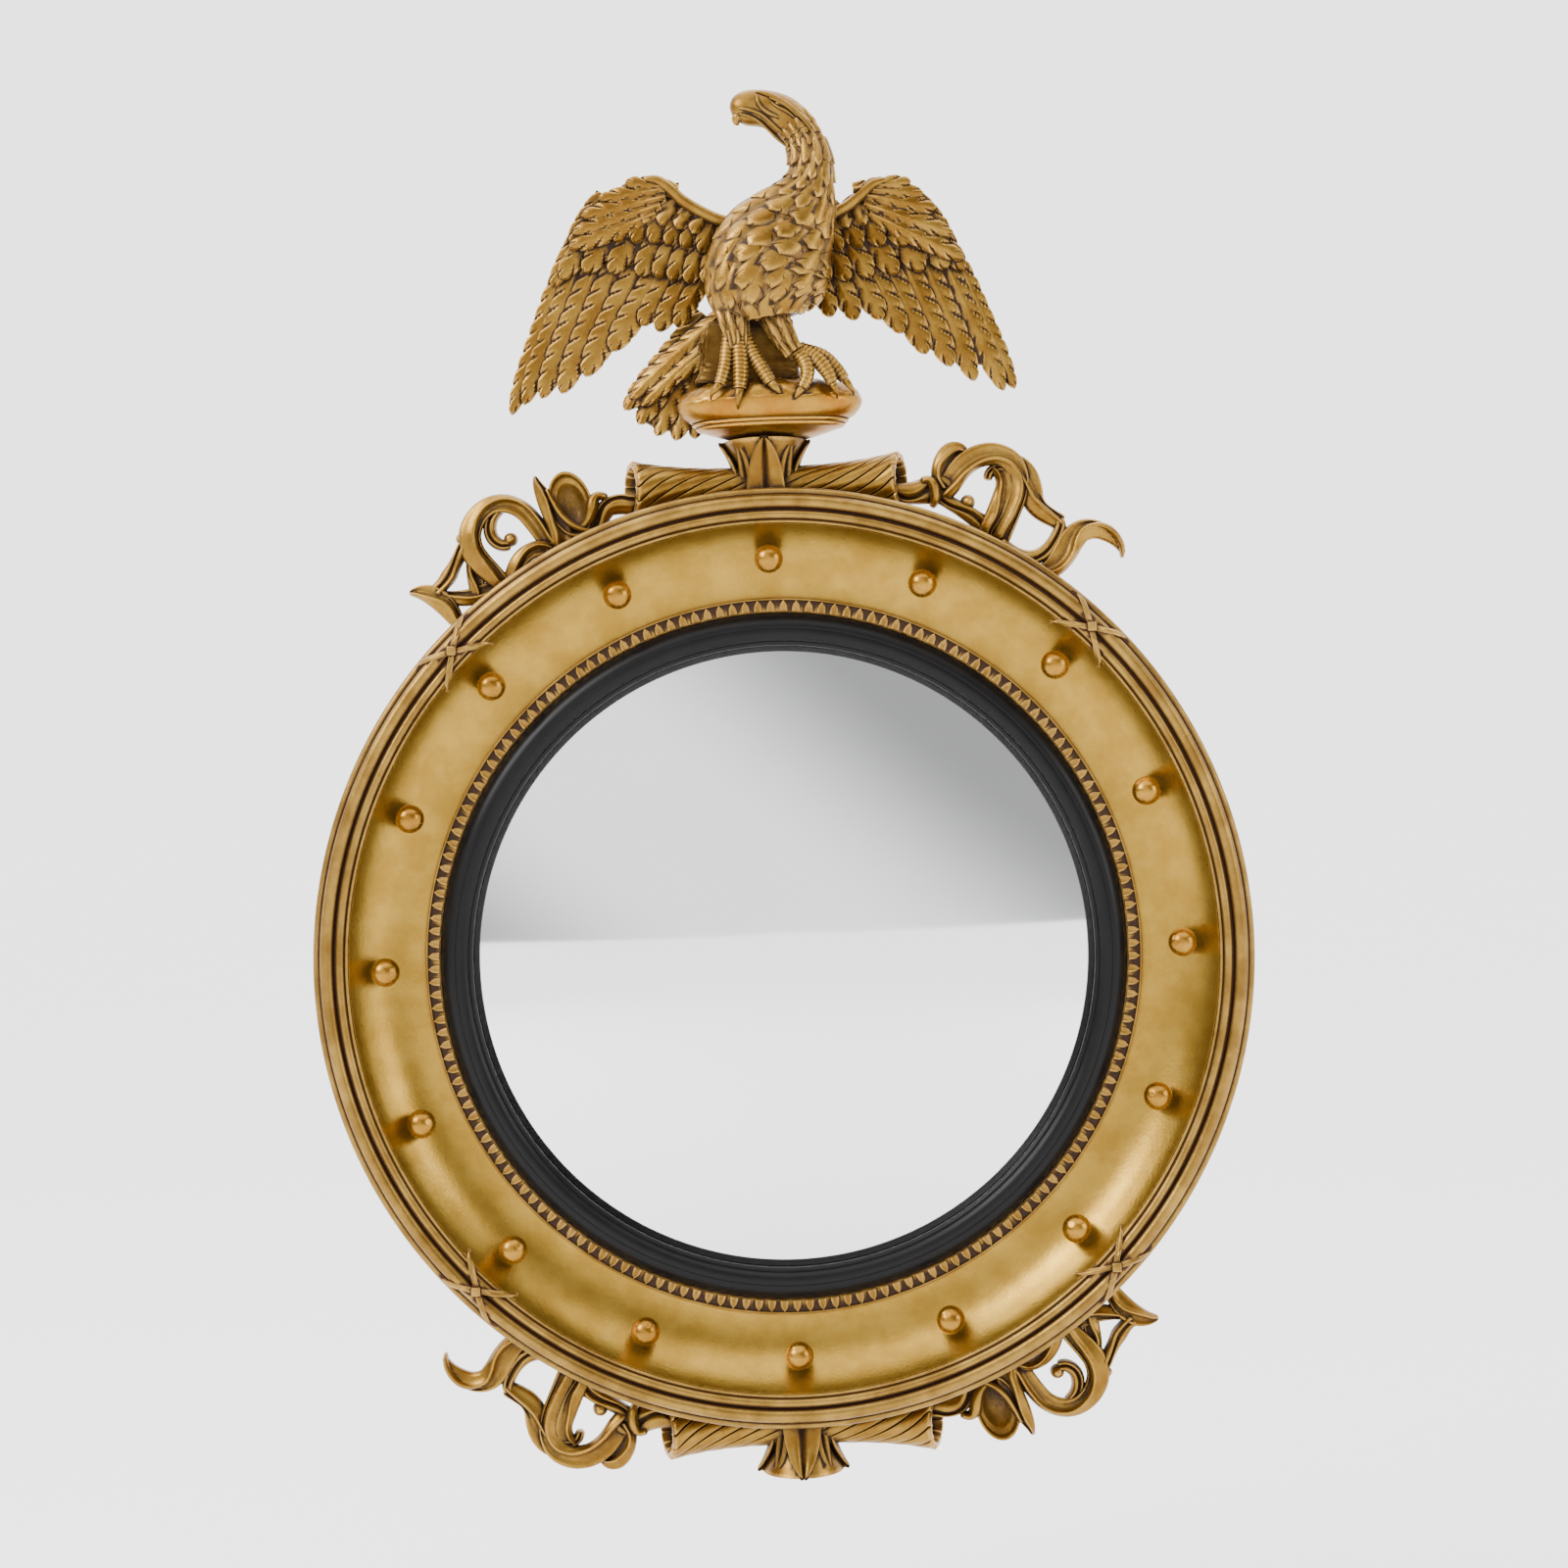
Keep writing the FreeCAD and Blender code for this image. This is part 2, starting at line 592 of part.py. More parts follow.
HEART_SCROLL = {
    "stem": [(91, 12.5, 4.5, 6), (97, 12.5, 5.5, 9), (103, 15, 7.5), (113, 19, 10.5), (122, 22, 12),
             (130, 24, 12)],
    "tip": [(122, 26, 9), (120, 36, 7), (119, 44, 6.5), (122, 50, 4), (127, 51, 2)],
    "arch": [(127, 22, 9), (128, 35, 9), (133, 48, 9), (143, 57, 9), (155, 57, 9), (163, 49, 8.5),
             (166, 38, 8), (168, 26, 8), (172, 14, 8), (175, 2, 8)],
    "shoulder": [(153, 59, 6), (165, 56, 7.5), (173, 49, 8), (181, 43, 7), (190, 39, 6), (198, 37, 5.5),
                 (210, 37, 5.5)],
    "trunk": [(160, 44, 7), (160, 33, 10), (160, 19, 12.5), (163, 7, 11), (170, -3, 8)],
    "link": [(125, 17, 6), (137, 15, 5.5), (147, 13, 6), (158, 13, 7)],
    "cup": [(177, 1, 6), (192, 1, 5), (203, 6, 5), (208, 15, 5), (208, 26, 5), (206, 36, 5)],
    "leaf": [(217, 0, 6), (220, 12, 7), (219, 24, 8), (219, 36, 8), (225, 44, 7), (233, 49, 4.5),
             (242, 51, 2)],
}


def scroll(strands, bosses, foot, side):
    solids = [strand(route, side) for route in strands.values()]
    solids += [boss(*spot, side) for spot in bosses]
    solids.append(rim_foot(foot[0], foot[1], side))
    return united(solids)


def room_behind():
    """The room between the wall and the back ring's back, above the mirror's centre."""
    return Part.makeBox(400, 100, 800, Vector(-200, -BACK, 0))


def socket(grow=0.0):
    """The vase of leaves at the middle of the crest, and its block against the back ring."""
    half, flare, depth = mm("socket_half"), mm("socket_flare"), mm("crest_depth")
    foot, top = BASE - grow, PERCH_FOOT + grow
    low, high = RIM + 0.3 * mm("socket_height"), RIM + 0.56 * mm("socket_height")
    stations = [(0, foot, half - 1.5, depth, 19), (0, RIM, half, depth, 20), (0, low, half + 1.5, depth, 21)]
    stations += [(0, high, half + 5.5, depth, 24), (0, high + 8, half + 10, depth, 27)]
    stations.append((0, top, flare, depth, 30))
    vase = limb([(x, z, w + grow, y, t + grow) for x, z, w, y, t in stations])
    thick = depth - BACK
    block = Part.makeBox(2 * half - 6, thick, PERCH_FOOT - BASE, Vector(3 - half, -depth, BASE))
    return united([vase, block]).cut(room_behind())


def torch(side):
    """A flared torch with a hollow mouth and a turned peg, cut to sit against the socket."""
    root, mouth = mm("torch_root"), mm("torch_mouth")
    start, length = mm("socket_half"), mm("torch_length")
    bore, hollow = mm("mouth_bore"), mm("mouth_hollow")
    flare = Part.BSplineCurve()
    bulge = root + (mouth - root) * 0.16
    flare.interpolate([Vector(start, root, 0), Vector(start + 0.55 * length, bulge, 0),
                       Vector(start + length, mouth, 0)])
    end = start + length
    lip = end + 2
    peg = start - mm("peg_length")
    corners = [(end, mouth), (lip, mouth - 1.5), (lip, bore), (lip - hollow, bore - 3), (lip - hollow, 0),
               (peg, 0), (peg, mm("peg_radius")), (start, mm("peg_radius")), (start, root)]
    edges = [Part.makeLine(Vector(*a, 0), Vector(*b, 0)) for a, b in zip(corners, corners[1:])]
    solid = Part.Face(Part.Wire(edges + [flare.toShape()])).revolve(Vector(), Vector(1, 0, 0), 360)
    solid = solid if side > 0 else solid.mirror(Vector(), Vector(1, 0, 0))
    solid.translate(Vector(0, -mm("crest_depth"), RIM + mm("torch_axis")))
    shell = Part.makeCylinder(peg_hole_radius(), 4 * start, Vector(-2 * start, 0, 0), Vector(1, 0, 0))
    shell.translate(Vector(0, -mm("crest_depth"), RIM + mm("torch_axis")))
    return solid.cut(socket(FIT).cut(shell))


def peg_hole_radius():
    return mm("peg_radius") + mm("running_fit")


def bored_socket():
    """The socket with the two peg holes for its torches."""
    start = mm("socket_half") - mm("peg_length") - FIT
    solid = socket()
    for side in (-1, 1):
        hole = Part.makeCylinder(peg_hole_radius(), mm("peg_length") + 30, Vector(), Vector(side, 0, 0))
        hole.translate(Vector(side * start, -mm("crest_depth"), RIM + mm("torch_axis")))
        solid = solid.cut(hole)
    return solid


def perch(grow=0.0):
    """The dished perch: a moulded oval boss with a rocky top."""
    centre, depth = mm("perch_centre"), mm("perch_depth")
    height = mm("perch_height")
    outline = [(0.0, 0.37), (0.12, 0.66), (0.2, 0.8), (0.24, 0.82), (0.36, 0.92), (0.52, 0.985), (0.64, 1.0),
               (0.81, 0.93), (0.93, 0.85), (1.0, 0.74)]
    rings = []
    for share, width in outline:
        z = PERCH_FOOT + share * height + (grow if share > 0.5 else -grow)
        half = width * mm("perch_half") + grow
        rings.append(oval(Vector(centre, -depth, z), Vector(0, 0, 1), half, half * 0.58))
    return Part.makeLoft(rings, True, True).cut(room_behind())


def layer(outline, back, thick):
    """A flat carved layer with this outline, its back this far from the wall."""
    points = [Vector(x, -back, z) for x, z in outline]
    return Part.Face(Part.makePolygon(points + points[:1])).extrude(Vector(0, -thick, 0))


def raised(outline):
    """Carry an outline that was measured over the perch to the height the eagle stands at."""
    return [(x, z + EAGLE_FOOT) for x, z in outline]


# The eagle's outlines are measured from the middle of the mirror, and up from the eagle's foot.
LEFT_WING = [(4, 72), (-10, 75), (-40, 84), (-62, 101), (-80, 110), (-91, 107), (-114, 95), (-127, 82),
             (-140, 54), (-149, 34), (-160, 4), (-175, -26), (-190, -57), (-187, -61), (-180, -61),
             (-160, -47), (-150, -46), (-137, -35), (-125, -29), (-110, -15), (-92, 2), (-83, 3), (-77, -2),
             (-66, 0), (-40, 30), (4, 34)]
LEFT_COVERTS = [(4, 68), (-12, 70), (-40, 79), (-62, 96), (-90, 98), (-118, 84), (-136, 50), (-143, 40),
                (-120, 40), (-92, 34), (-66, 30), (-46, 36), (4, 40)]
LEFT_SHOULDER = [(-16, 71), (-40, 82), (-64, 99), (-90, 102), (-108, 92), (-124, 76), (-100, 72), (-72, 64),
                 (-44, 62), (-36, 64)]
RIGHT_WING = [(6, 72), (60, 84), (75, 90), (88, 101), (113, 99), (133, 79), (145, 63), (154, 33), (166, -4),
              (180, -31), (189, -49), (187, -54), (180, -58), (157, -49), (140, -38), (120, -28), (105, -11),
              (90, 4), (70, 2), (50, -1), (28, 2), (18, 12), (6, 34)]
RIGHT_COVERTS = [(6, 68), (60, 80), (76, 86), (92, 96), (116, 90), (136, 68), (146, 40), (120, 38), (96, 34),
                 (70, 36), (50, 34), (6, 40)]
RIGHT_SHOULDER = [(66, 83), (76, 88), (90, 99), (112, 95), (131, 76), (143, 60), (118, 62), (90, 66),
                  (67, 62)]
TAIL = [(10, 28), (-34, 28), (-36, 8), (-62, -4), (-76, -18), (-92, -36), (-105, -50), (-107, -59),
        (-97, -70), (-80, -79), (-50, -82), (-42, -40), (-24, -2), (10, 4)]
# The stump's outline is measured up from the perch, on a stump 46 high, and stretches with its height.
STUMP = [(-52, 0), (-44, 14), (-48, 30), (-38, 46), (26, 46), (22, 30), (29, 12), (30, 0)]
STUMP_DRAWN = 46


def eagle_body():
    """Breast, neck and head, carved from one block with a flat back for the wings."""
    depth = mm("eagle_depth")
    sections = [(8, -4, 25, 0, 20), (6, 16, 42, 0, 27), (8, 34, 45, 0, 30), (16, 52, 42, 0, 29),
                (27, 69, 34, 0, 25), (36, 84, 25, 3, 20), (41, 99, 17.5, 4, 17), (41, 114, 16, 2, 15),
                (35, 131, 15, 0, 14), (24, 145, 13.5, -2, 13), (9, 154, 12.5, -4, 11.5),
                (-3, 155.5, 11, -4, 9), (-11, 151, 6, -4, 5)]
    form = limb([(x, z + EAGLE_FOOT, w, depth + y, t) for x, z, w, y, t in sections])
    room = Part.makeBox(300, 100, 300, Vector(-150, -mm("eagle_plane") - 100, EAGLE_FOOT))
    return form.common(room)


def wing(outlines):
    back, plate = mm("wing_back") + FIT, mm("wing_plate")
    flush = mm("eagle_plane") - back - plate
    whole, coverts, shoulder = outlines
    solids = [layer(raised(whole), back, plate), layer(raised(coverts), back + plate - 1, flush + 1)]
    solids.append(layer(raised(shoulder), mm("eagle_plane") - 1, plate * 0.8 + 1))
    return united(solids)


def tail():
    back = mm("wing_back") - mm("tail_thick")
    fan = layer(raised(TAIL), back, mm("tail_thick"))
    root = [(8, 6), (8, 28), (-32, 28), (-32, 6)]
    pad = layer(raised(root), mm("wing_back") - 1, mm("eagle_plane") - mm("wing_back") + 1)
    return united([fan, pad]).cut(perch(FIT))


def leg(thigh, toes):
    """A feathered thigh and three toes that lie over the perch."""
    depth = mm("eagle_plane") + mm("stump_thick") + 14

    def lifted(route):
        return [(x, z + EAGLE_FOOT, w, depth + y, t) for x, z, w, y, t in route]
    solids = [limb(lifted(thigh))] + [limb(lifted(toe)) for toe in toes]
    stump_front = mm("eagle_plane") + mm("stump_thick") + FIT
    room = Part.makeBox(300, 100, 100, Vector(-150, -stump_front - 100, EAGLE_FOOT - 100))
    return united(solids).common(room).cut(perch(FIT))


LEFT_THIGH = [(-20, 4, 13, -2, 11), (-19, -6, 11, 0, 11), (-17, -16, 9, 2, 10), (-16, -26, 8, 2, 8)]
LEFT_TOES = [
    [(-22, -12, 6, 0, 6), (-25, -26, 5.5, 3, 6), (-27, -38, 5, 6, 6), (-31, -50, 4, 8, 6),
     (-37, -58, 2, 8, 4)],
    [(-16, -14, 6, 2, 6), (-15, -28, 6, 6, 6), (-15, -42, 5.5, 9, 6), (-16, -54, 4.5, 11, 6),
     (-19, -66, 2, 12, 4)],
    [(-12, -14, 6, 0, 6), (-7, -28, 5.5, 4, 6), (-1, -39, 5, 7, 6), (5, -50, 4.5, 9, 6), (12, -59, 2, 10, 4)],
]
RIGHT_THIGH = [(8, 4, 12, -2, 11), (12, -8, 10, 0, 11), (17, -20, 9, 2, 10), (25, -30, 7, 2, 8)]
RIGHT_TOES = [
    [(22, -26, 7, 0, 7), (31, -36, 6, 4, 7), (33, -46, 5, 7, 6), (28, -56, 3.5, 9, 5), (24, -62, 2, 10, 3)],
    [(24, -27, 7, 0, 7), (38, -35, 6.5, 3, 7), (46, -42, 5.5, 5, 6), (50, -52, 4, 6, 5), (53, -60, 2, 6, 3)],
    [(24, -27, 7, 0, 7), (42, -34, 6, 0, 6), (53, -41, 5, 0, 6), (59, -48, 4, 0, 5), (65, -57, 2, 0, 3)],
]


def dowel_hole(extra):
    """The straight hole that ties perch, stump and body together."""
    sink = mm("dowel_sink") + extra
    spot = Vector(mm("perch_centre"), -mm("eagle_plane") - mm("stump_thick") / 2 - 1, PERCH_TOP - sink)
    return Part.makeCylinder(mm("dowel_radius") + extra, mm("stump_height") + 2 * sink, spot)


def screw(spot, direction, length):
    """A wood screw: a low round head outside the face at spot, and its shank beyond it."""
    outside = spot - direction * mm("head_height")
    head = Part.makeCylinder(mm("head_radius"), mm("head_height"), outside, direction)
    outer_edges = [edge for edge in head.Edges if edge.CenterOfMass.y > spot.y + 0.1]
    head = head.makeFillet(mm("head_height") * 0.6, outer_edges)
    return head.fuse(Part.makeCylinder(mm("shank_radius"), length, spot, direction))


INTO_FRAME = Vector(0, -1, 0)
hanger_x = ring_middle * sine(size["hanger_angle"])
hanger_z = ring_middle * cosine(size["hanger_angle"]) + size["hanger_rise"]
screw_bore = size["shank_radius"] + size["running_fit"]
strap_outer = size["strap_lap"] * 0.28
strap_inner = size["strap_lap"] * 0.75
ring_holes = [ring_edge - strap_outer, ring_edge - strap_inner]
socket_hole = rim_edge + size["socket_height"] / 2
perch_hole = perch_foot + size["perch_height"] * 0.55
plate_drops = [size["plate_hole"], size["plate_length"] - size["plate_hole"]]


def frame_screws():
    """Every screw that goes into the frame's back, with the length that it has in the wood."""
    places = []
    wood = mm("screw_length")
    for side in (-1, 1):
        for drop in plate_drops:
            places.append((side * hanger_x.number, BACK - mm("plate_thick"), (hanger_z - drop).number, wood))
    for side in (-1, 1):
        for height in ring_holes:
            places.append((0, BACK - mm("strap_thick"), side * height.number, wood))
    strap_back = BACK - mm("strap_thick")
    for height in (socket_hole, -socket_hole, perch_hole):
        places.append((0, strap_back, height.number, wood))
    for angle in BUTTON_ANGLES.values():
        x = button_circle.number * math.sin(math.radians(angle))
        z = button_circle.number * math.cos(math.radians(angle))
        places.append((x, BACK - mm("button_thick") - mm("running_fit"), z, wood))
    return places


def wing_screws():
    """The screws that hold wings and tail to the eagle's flat back."""
    back = mm("wing_back")
    sunk = back - mm("tail_thick")
    reach = mm("eagle_plane") - back + 12
    spots = [(-4, 62), (-14, 66), (14, 62), (30, 66)]
    places = [(x, back + FIT, z + EAGLE_FOOT, reach) for x, z in spots]
    places.append((-12, sunk, EAGLE_FOOT + 18, reach + mm("tail_thick")))
    return places


def all_screws(extra=0.0):
    """Screws as solids, or their holes when extra is the clearance round the shank."""
    solids = []
    for x, depth, z, length in frame_screws() + wing_screws():
        if extra:
            radius = mm("shank_radius") + extra
            start = Vector(x, OVERCUT - depth, z)
            solids.append(Part.makeCylinder(radius, length + OVERCUT + extra, start, INTO_FRAME))
        else:
            solids.append(screw(Vector(x, -depth, z), INTO_FRAME, length))
    return Part.makeCompound(solids)


screw_holes = all_screws(mm("running_fit"))

# ---------------------------------------------------------------- crest, eagle and pendant

curled = scroll(CURLED_SCROLL, [(131, 33, 19), (205, 5, 5), (174, 33, 4.5)], (115, 255), -1)
heart = scroll(HEART_SCROLL, [(145, 22, 6)], (125, 225), 1)
left_torch, right_torch = torch(-1), torch(1)
plain_socket = bored_socket().cut(screw_holes)
carved("crest_socket", plain_socket, 0)
carved("crest_torch_left", left_torch, 0)
carved("crest_torch_right", right_torch, 0)
carved("crest_scroll_left", curled, -SCROLL_ANGLE)
carved("crest_scroll_right", heart, SCROLL_ANGLE)
carved("pendant_socket", plain_socket.copy(), 180, UPSIDE_DOWN)
carved("pendant_torch_left", right_torch.copy(), 180, UPSIDE_DOWN)
carved("pendant_torch_right", left_torch.copy(), 180, UPSIDE_DOWN)
carved("pendant_scroll_left", heart.copy(), 180 + SCROLL_ANGLE, UPSIDE_DOWN)
carved("pendant_scroll_right", curled.copy(), 180 - SCROLL_ANGLE, UPSIDE_DOWN)

perch_lift = size["socket_height"] - mm("socket_height")
stump_lift = perch_lift + size["perch_height"] - mm("perch_height")
eagle_lift = stump_lift + size["stump_height"] - mm("stump_height")
peg_room = dowel_hole(mm("running_fit"))
stump_outline = [(x, z * mm("stump_height") / STUMP_DRAWN + PERCH_TOP) for x, z in STUMP]
stump = layer(stump_outline, mm("eagle_plane") + OVERCUT, mm("stump_thick") - OVERCUT)
left_wing = wing([LEFT_WING, LEFT_COVERTS, LEFT_SHOULDER])
right_wing = wing([RIGHT_WING, RIGHT_COVERTS, RIGHT_SHOULDER])
carved("perch", perch().cut(peg_room).cut(screw_holes), 0, lift=perch_lift)
carved("eagle_stump", stump.cut(peg_room), 0, lift=stump_lift)
carved("eagle_body", eagle_body().cut(peg_room).cut(screw_holes), 0, lift=eagle_lift)
carved("eagle_wing_left", left_wing.cut(screw_holes), 0, lift=eagle_lift)
carved("eagle_wing_right", right_wing.cut(screw_holes), 0, lift=eagle_lift)
carved("eagle_tail", tail().cut(screw_holes), 0, lift=eagle_lift)
carved("eagle_leg_left", leg(LEFT_THIGH, LEFT_TOES), 0, lift=eagle_lift)
carved("eagle_leg_right", leg(RIGHT_THIGH, RIGHT_TOES), 0, lift=eagle_lift)
carved("eagle_dowel", dowel_hole(0.0), 0, lift=stump_lift)

# ---------------------------------------------------------------- straps, hangers, turn buttons and pads


def strap(label, reach, side, holes):
    """A flat iron strap, screwed to the back ring and to the carving beyond it."""
    length = size["strap_lap"] + reach
    low = ring_edge - size["strap_lap"] if side > 0 else -(ring_edge + reach)
    bar = slab(label + "_bar", size["strap_width"], size["strap_thick"], length,
               -(size["strap_width"] / 2), -rear, low)
    bores = []
    for number, height in enumerate(holes):
        bores.append(rod(f"{label}_hole_{number + 1}", screw_bore, size["strap_thick"] + 2 * OVERCUT,
                         0, size["strap_thick"] + OVERCUT - rear, height * side, along_y()))
    return keep(less(label, bar, joined(label + "_holes", bores)), label)


strap("crest_strap", size["crest_strap_reach"], 1, ring_holes + [socket_hole, perch_hole])
strap("pendant_strap", size["pendant_strap_reach"], -1, ring_holes + [socket_hole])

barrel_inner = size["wire_radius"] + size["running_fit"]
barrel_outer = barrel_inner + size["plate_thick"]
barrel_depth = rear - barrel_outer
for side_name, side in (("left", -1), ("right", 1)):
    centre_x = hanger_x * side
    left_end = centre_x - size["plate_width"] / 2
    sideways = Rotation(Vector(0, 1, 0), 90)
    label = f"hanger_plate_{side_name}"
    flat = slab(label + "_flat", size["plate_width"], size["plate_thick"], size["plate_length"],
                left_end, -rear, hanger_z - size["plate_length"])
    barrel = rod(label + "_barrel", barrel_outer, size["plate_width"],
                 left_end, -barrel_depth, hanger_z, sideways)
    bore = rod(label + "_bore", barrel_inner, size["plate_width"] + 2 * OVERCUT, left_end - OVERCUT,
               -barrel_depth, hanger_z, sideways)
    holes = [rod(f"{label}_hole_{number + 1}", screw_bore, size["plate_thick"] + 2 * OVERCUT,
                 centre_x, size["plate_thick"] + OVERCUT - rear, hanger_z - drop, along_y())
             for number, drop in enumerate(plate_drops)]
    blank = joined(label + "_blank", [flat, barrel])
    keep(less(label, blank, joined(label + "_bores", [bore] + holes)), label)

    label = f"hanger_ring_{side_name}"
    wire = size["wire_radius"]
    loop = size["loop_half"]
    pieces = [rod(label + "_bar", wire, loop * 2, centre_x - loop, -barrel_depth, hanger_z, sideways)]
    for end, offset in (("a", -loop), ("b", loop)):
        corner = doc.addObject("Part::Sphere", f"{label}_corner_{end}")
        corner.setExpression("Radius", wire.formula)
        place(corner, centre_x + offset, -barrel_depth, hanger_z)
        pieces.append(corner)
        pieces.append(rod(f"{label}_leg_{end}", wire, size["loop_leg"], centre_x + offset, -barrel_depth,
                          hanger_z - size["loop_leg"]))
    bow = doc.addObject("Part::Torus", label + "_bow")
    bow.setExpression("Radius1", loop.formula)
    bow.setExpression("Radius2", wire.formula)
    bow.Angle3 = 180
    place(bow, centre_x, -barrel_depth, hanger_z - size["loop_leg"], Rotation(Vector(1, 0, 0), -90))
    keep(joined(label, pieces + [bow]), label)

for label, angle in BUTTON_ANGLES.items():
    across, up = math.sin(math.radians(angle)), math.cos(math.radians(angle))
    facing = Rotation(Vector(0, 1, 0), angle)
    x, z = button_circle * across, button_circle * up
    end = size["button_half"] - size["button_width"] / 2
    half = size["button_width"] / 2
    bar = slab(label + "_bar", size["button_width"], size["button_thick"], end * 2,
               x - half * up - end * across, -rear, z + half * across - end * up, facing)
    tips = []
    for way, shift in (("outer", 1), ("inner", -1)):
        tips.append(rod(f"{label}_{way}_end", half, size["button_thick"],
                        x + end * (across * shift), -(rear - size["button_thick"]), z + end * (up * shift),
                        along_y()))
    bore = rod(label + "_bore", screw_bore, size["button_thick"] + 2 * OVERCUT,
               x, size["button_thick"] + OVERCUT - rear, z, along_y())
    keep(less(label, joined(label + "_blank", [bar] + tips), bore), label)

pads = []
pad_across = ring_middle * sine(size["pad_angle"])
pad_up = ring_middle * cosine(size["pad_angle"])
for index, (side, end) in enumerate(((-1, 1), (1, 1), (-1, -1), (1, -1))):
    pads.append(rod(f"wall_pad_{index + 1}", size["pad_radius"], size["pad_depth"], pad_across * side,
                    0, pad_up * end, along_y()))
pad_group = doc.addObject("Part::Compound", "wall_pads")
pad_group.Links = pads
keep(pad_group, "wall_pads")
carved("back_screws", all_screws())

# The screw holes are cut in the back ring last, so that they follow every screw.
hole_tool = doc.addObject("Part::Feature", "frame_screw_holes")
hole_tool.Shape = screw_holes
keep(less("back_ring", plain_ring, hole_tool), "back_ring")

# ---------------------------------------------------------------- checks and files

doc.recompute()
for item in doc.Objects:
    if "Invalid" in item.State or "Error" in item.State:
        sys.exit(f"{item.Label} failed: {item.State}")
for label, item in parts.items():
    if item.Shape.isNull() or not item.Shape.isValid() or not item.Shape.Solids:
        sys.exit(f"{label} has no valid solid")
os.makedirs("parts", exist_ok=True)
for label, item in parts.items():
    item.Shape.exportStep(f"parts/{label}.step")
print(f"{len(parts)} parts written")
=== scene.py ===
import math
import random

import bpy
import numpy as np
from mathutils import Matrix, Vector
from mathutils.bvhtree import BVHTree


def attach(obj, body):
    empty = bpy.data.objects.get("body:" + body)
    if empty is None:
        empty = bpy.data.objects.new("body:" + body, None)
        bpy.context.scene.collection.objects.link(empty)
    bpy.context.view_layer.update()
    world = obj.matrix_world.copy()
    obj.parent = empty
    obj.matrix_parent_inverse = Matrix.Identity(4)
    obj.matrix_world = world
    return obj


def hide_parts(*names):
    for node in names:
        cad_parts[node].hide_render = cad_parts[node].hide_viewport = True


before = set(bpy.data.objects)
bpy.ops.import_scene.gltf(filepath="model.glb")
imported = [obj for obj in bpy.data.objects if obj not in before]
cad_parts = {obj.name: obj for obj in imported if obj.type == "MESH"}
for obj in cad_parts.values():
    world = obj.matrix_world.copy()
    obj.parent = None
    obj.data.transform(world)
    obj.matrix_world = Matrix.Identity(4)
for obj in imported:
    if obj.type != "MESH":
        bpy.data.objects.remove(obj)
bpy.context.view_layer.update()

# A convex wall mirror in a round gilt frame, with an eagle on its crest.
# Sizes are in millimetres here, as in the workshop drawing, and at() turns them into the scene's metres.
# "Depth" is measured forward from the wall, so the front of the mirror faces -Y.

MM = 0.001
LEAF_EDGE = 262.5
COVE_EDGE = 313.9
RIM = 340.0
RING_FRONT = 40.0
LEAF_SEAT = 46.0
COVE_CREST = 80.0
REED_BACK = 62.0
COVE_CENTRE = (262.5, 101.85)
COVE_RADIUS = 55.85
BALL_RADIUS = 10.5
BALL_SLOPE = 37.0
BALL_COUNT = 16
LEAF_TIPS = 172
CREST_DEPTH = 40.0
TORCH_AXIS = 346.0
EAGLE_FOOT = 466.0
PERCH_CENTRE = 5.0
PERCH_DEPTH = 44.0
AROUND = 288

chance = random.Random(7)
gilded = []
MIDDLE = Vector((0, 0, 0))
FRONT_AXIS = (0, 1, 0)


def at(x, depth, z):
    """A point given in millimetres, its depth measured forward from the wall."""
    return Vector((x, -depth, z)) * MM


# ---------------------------------------------------------------- workshop habits


def put_down():
    """Leave edit mode and let go of everything."""
    if bpy.context.mode != "OBJECT":
        bpy.ops.object.mode_set(mode="OBJECT")
    bpy.ops.object.select_all(action="DESELECT")


def take_up(piece):
    """Hold one piece and nothing else."""
    put_down()
    piece.select_set(True)
    bpy.context.view_layer.objects.active = piece


def open_up(piece, how="VERT"):
    """Hold one piece in edit mode with nothing on it selected."""
    take_up(piece)
    bpy.ops.object.mode_set(mode="EDIT")
    bpy.ops.mesh.select_mode(type=how)
    bpy.ops.mesh.select_all(action="DESELECT")


def open_all(piece, how="VERT"):
    """Open a piece up with all of it selected."""
    open_up(piece, how)
    bpy.ops.mesh.select_all(action="SELECT")


def named(name):
    """Name the piece in hand and set its place into its mesh."""
    piece = bpy.context.object
    piece.name = name
    piece.data.name = name
    bpy.ops.object.transform_apply(location=True, rotation=True, scale=True)
    return piece


def filled(piece):
    """The room that a closed piece encloses, in cubic metres, below nothing when its faces look inward."""
    mesh = piece.data
    mesh.calc_loop_triangles()
    corners = np.empty(len(mesh.loop_triangles) * 3, np.int32)
    mesh.loop_triangles.foreach_get("vertices", corners)
    first, second, third = points_of(piece)[corners.reshape(-1, 3)].transpose(1, 0, 2)
    return (first * np.cross(second, third)).sum() / 6


def sealed(piece, outward=True):
    """Merge doubled points, and turn every face outward."""
    open_all(piece)
    bpy.ops.mesh.remove_doubles(threshold=0.00001)
    if outward:
        bpy.ops.mesh.normals_make_consistent(inside=False)
    put_down()
    if outward and filled(piece) < 0:
        open_all(piece)
        bpy.ops.mesh.flip_normals()
        put_down()
    return piece


def smoothed(piece, angle=40.0):
    take_up(piece)
    bpy.ops.object.shade_smooth_by_angle(angle=math.radians(angle))
    put_down()
    return piece


def softened(piece, levels=1):
    """Round a piece with a subdivision surface, applied."""
    take_up(piece)
    bpy.ops.object.modifier_add(type="SUBSURF")
    rounding = piece.modifiers[-1]
    rounding.levels = levels
    rounding.render_levels = levels
    bpy.ops.object.modifier_apply(modifier=rounding.name)
    put_down()
    return piece


